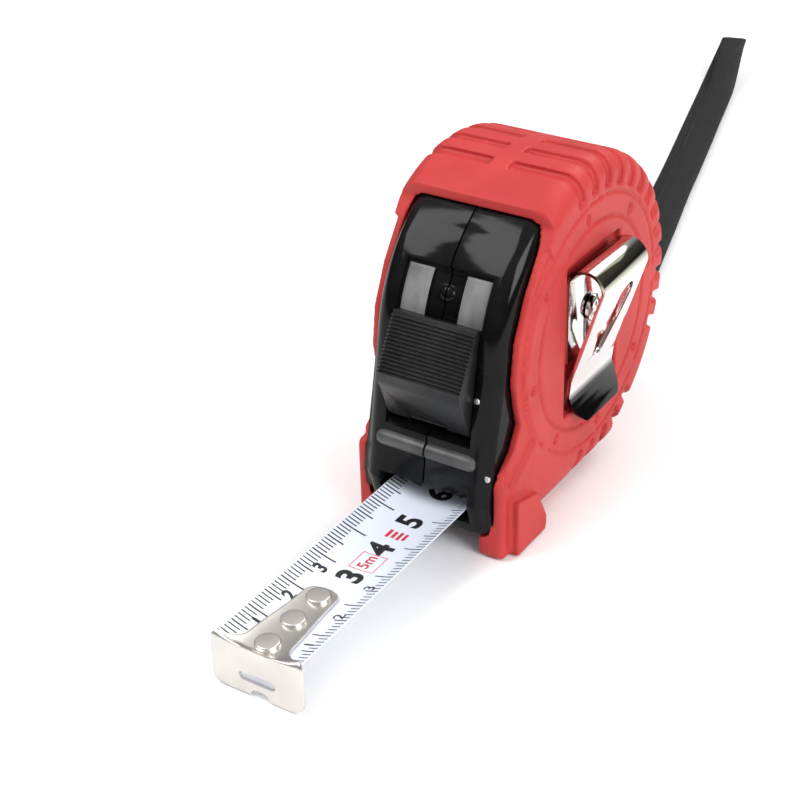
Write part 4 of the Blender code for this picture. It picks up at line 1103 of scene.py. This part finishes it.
def make_clip(material):
    """The belt clip, with a J-shaped cut-out in its plate and rounded corners on its lip."""
    outline = thick_path(clip_path(), CLIP_THICKNESS)
    low, high = CLIP_MIDDLE_Y - CLIP_WIDTH / 2, CLIP_MIDDLE_Y + CLIP_WIDTH / 2
    clip = loft("sprung_clip", [[(x, y, z) for x, z in outline] for y in (low, high)], sharp_angle=50)
    x_low, x_high = CLIP_LEAF_X + 0.0016, CLIP_LEAF_X + 3 * CLIP_STAND_OFF
    lobe = (CLIP_MIDDLE_Y + 0.0030, CLIP_TOP_Z - 0.0056, 0.0030)
    waist = (CLIP_MIDDLE_Y + 0.0020, CLIP_TOP_Z - 0.0110, 0.0024)
    foot = (CLIP_MIDDLE_Y + 0.0000, CLIP_TOP_Z - 0.0168, 0.0020)
    heel = (CLIP_MIDDLE_Y - 0.0024, CLIP_TOP_Z - 0.0128, 0.0012)
    cut_out = slab("cut_out", [lobe, waist], x_low, x_high, steps=64)
    join(cut_out, slab("cut_foot", [waist, foot], x_low + 0.0001, x_high + 0.0001, steps=64))
    join(cut_out, slab("cut_heel", [foot, heel], x_low + 0.0002, x_high + 0.0002, steps=64))
    cut(clip, cut_out)
    for side in (-1, 1):
        cut(clip, corner_cutter(side))
    bevelled(clip, 0.00022, 3, 40)
    finished(clip, "case", "chrome", material, "belt_clip")


def corner_cutter(side):
    """Rounds one lower corner of the lip, seen along X."""
    edge = CLIP_MIDDLE_Y + side * CLIP_WIDTH / 2
    radius = CLIP_CORNER_RADIUS
    centre_y, centre_z = edge - side * radius, CLIP_LIP_Z - 0.0004 + radius
    arc = [(centre_y + side * radius * math.sin(t), centre_z - radius * math.cos(t))
           for t in (math.pi / 2 * s / 16 for s in range(17))]
    outline = arc + [(edge + side * OVERCUT, centre_z), (edge + side * OVERCUT, CLIP_LIP_Z - OVERCUT),
                     (centre_y, CLIP_LIP_Z - OVERCUT)]
    return prism("corner", outline, 0.0152, 0.0264)


def make_clip_screw(material):
    """A round-headed screw with a cross slot."""
    seat = CLIP_LEAF_X + CLIP_THICKNESS + GAP
    radius = CLIP_SCREW_HEAD_RADIUS
    profile = [(seat - 0.003, CLIP_SCREW_RADIUS), (seat, CLIP_SCREW_RADIUS), (seat, radius),
               (seat + 0.0004, radius)]
    profile += [(seat + 0.0004 + 0.0010 * math.sin(t), radius * math.cos(t)) for t in quarter_turns(8, 8)]
    screw = turned("clip_screw_fine", profile, CLIP_MIDDLE_Y, CLIP_SCREW_Z, 48)
    middle = Matrix.Translation((0, CLIP_MIDDLE_Y, CLIP_SCREW_Z))
    for turn in (math.radians(25), math.radians(115)):
        slot = box("slot", (seat + 0.0005, -0.0016, -0.00035), (seat + 0.003, 0.0016, 0.00035))
        slot.data.transform(middle @ Matrix.Rotation(turn, 4, "X"))
        cut(screw, slot)
    finished(screw, "case", "chrome", material, "clip_screw")


# ---- room ---------------------------------------------------------------
def make_room():
    bm = bmesh.new()
    bmesh.ops.create_grid(bm, x_segments=2, y_segments=2, size=4.0)
    floor = new_object("floor", bm)
    floor.data.materials.append(floor_material())
    world = bpy.data.worlds.new("studio")
    world.use_nodes = True
    tree = world.node_tree
    split = tree.nodes.new("ShaderNodeSeparateXYZ")
    tree.links.new(tree.nodes.new("ShaderNodeTexCoord").outputs["Generated"], split.inputs["Vector"])
    sky = tree.nodes.new("ShaderNodeValToRGB")
    for element, place, shade in zip(sky.color_ramp.elements, (0.10, 0.75), (0.12, 1.0)):
        element.position = place
        element.color = (shade, shade, shade, 1.0)
    tree.links.new(split.outputs["Z"], sky.inputs["Fac"])
    tree.links.new(sky.outputs["Color"], tree.nodes["Background"].inputs["Color"])
    tree.nodes["Background"].inputs["Strength"].default_value = 0.75
    bpy.context.scene.world = world
    bpy.context.scene.view_settings.view_transform = "Standard"
    soft_light("key", (-0.50, -0.45, 0.95), 0.60, 6.5)
    soft_light("fill", (0.80, -0.25, 0.55), 0.50, 6.5)
    soft_light("back", (0.10, 0.75, 0.80), 0.60, 5.0)


def soft_light(name, place, size, power):
    light = bpy.data.objects.new(name, bpy.data.lights.new(name, "AREA"))
    light.data.size = size
    light.data.energy = power
    light.location = place
    light.rotation_euler = (Vector((0, -0.02, 0.03)) - Vector(place)).to_track_quat("-Z", "Y").to_euler()
    bpy.context.scene.collection.objects.link(light)


def dress_hidden_nodes(nickel, grey, steel, white, satin):
    """The pieces inside keep their CAD shapes."""
    kept = {"spool": grey, "spring_cover": grey, "blade_coil": white, "power_spring": steel,
            "centre_post": nickel, "strap_pin": nickel, "brake_arm": satin}
    kept.update({f"case_screw_{number}": nickel for number in range(1, 5)})
    for name, material in kept.items():
        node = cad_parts[name]
        node.data.materials.clear()
        node.data.materials.append(material)


make_camera()
make_strap(strap_material())
NICKEL = nickel_material()
make_jacket(rubber_material())
make_case(gloss_black_material())
# Pads: matte black plastic, painted grey for the soft reflection on them.
make_pads(worn_plastic_material("pad_painted_reflection_skin", 0.10, 0.22))
# Mouth bar: painted highlight, a lighter grey than the gloss black case.
make_mouth_bar(worn_plastic_material("mouth_bar_painted_highlight_skin", 0.040, 0.080))
make_small_screws(NICKEL)
SATIN = satin_black_material()
make_slider(SATIN)
WHITE = blade_material()
make_blade(WHITE)
make_print(ink_material("black_ink", (0.008, 0.008, 0.010), (0.020, 0.020, 0.024)),
           ink_material("red_ink", (0.55, 0.020, 0.045), (0.66, 0.040, 0.070)))
make_hook(NICKEL)
make_rivets(NICKEL)
# Chrome for the clip and its screw, with reflections painted into its colour by height.
CHROME_PAINTED_REFLECTION = chrome_material()
make_clip(CHROME_PAINTED_REFLECTION)
make_clip_screw(CHROME_PAINTED_REFLECTION)
dress_hidden_nodes(NICKEL, ink_material("grey_plastic_skin", (0.24, 0.25, 0.26), (0.32, 0.33, 0.34)),
                   nickel_material("spring_steel_skin", (0.26, 0.29, 0.34), (0.36, 0.38, 0.42)), WHITE, SATIN)
make_room()
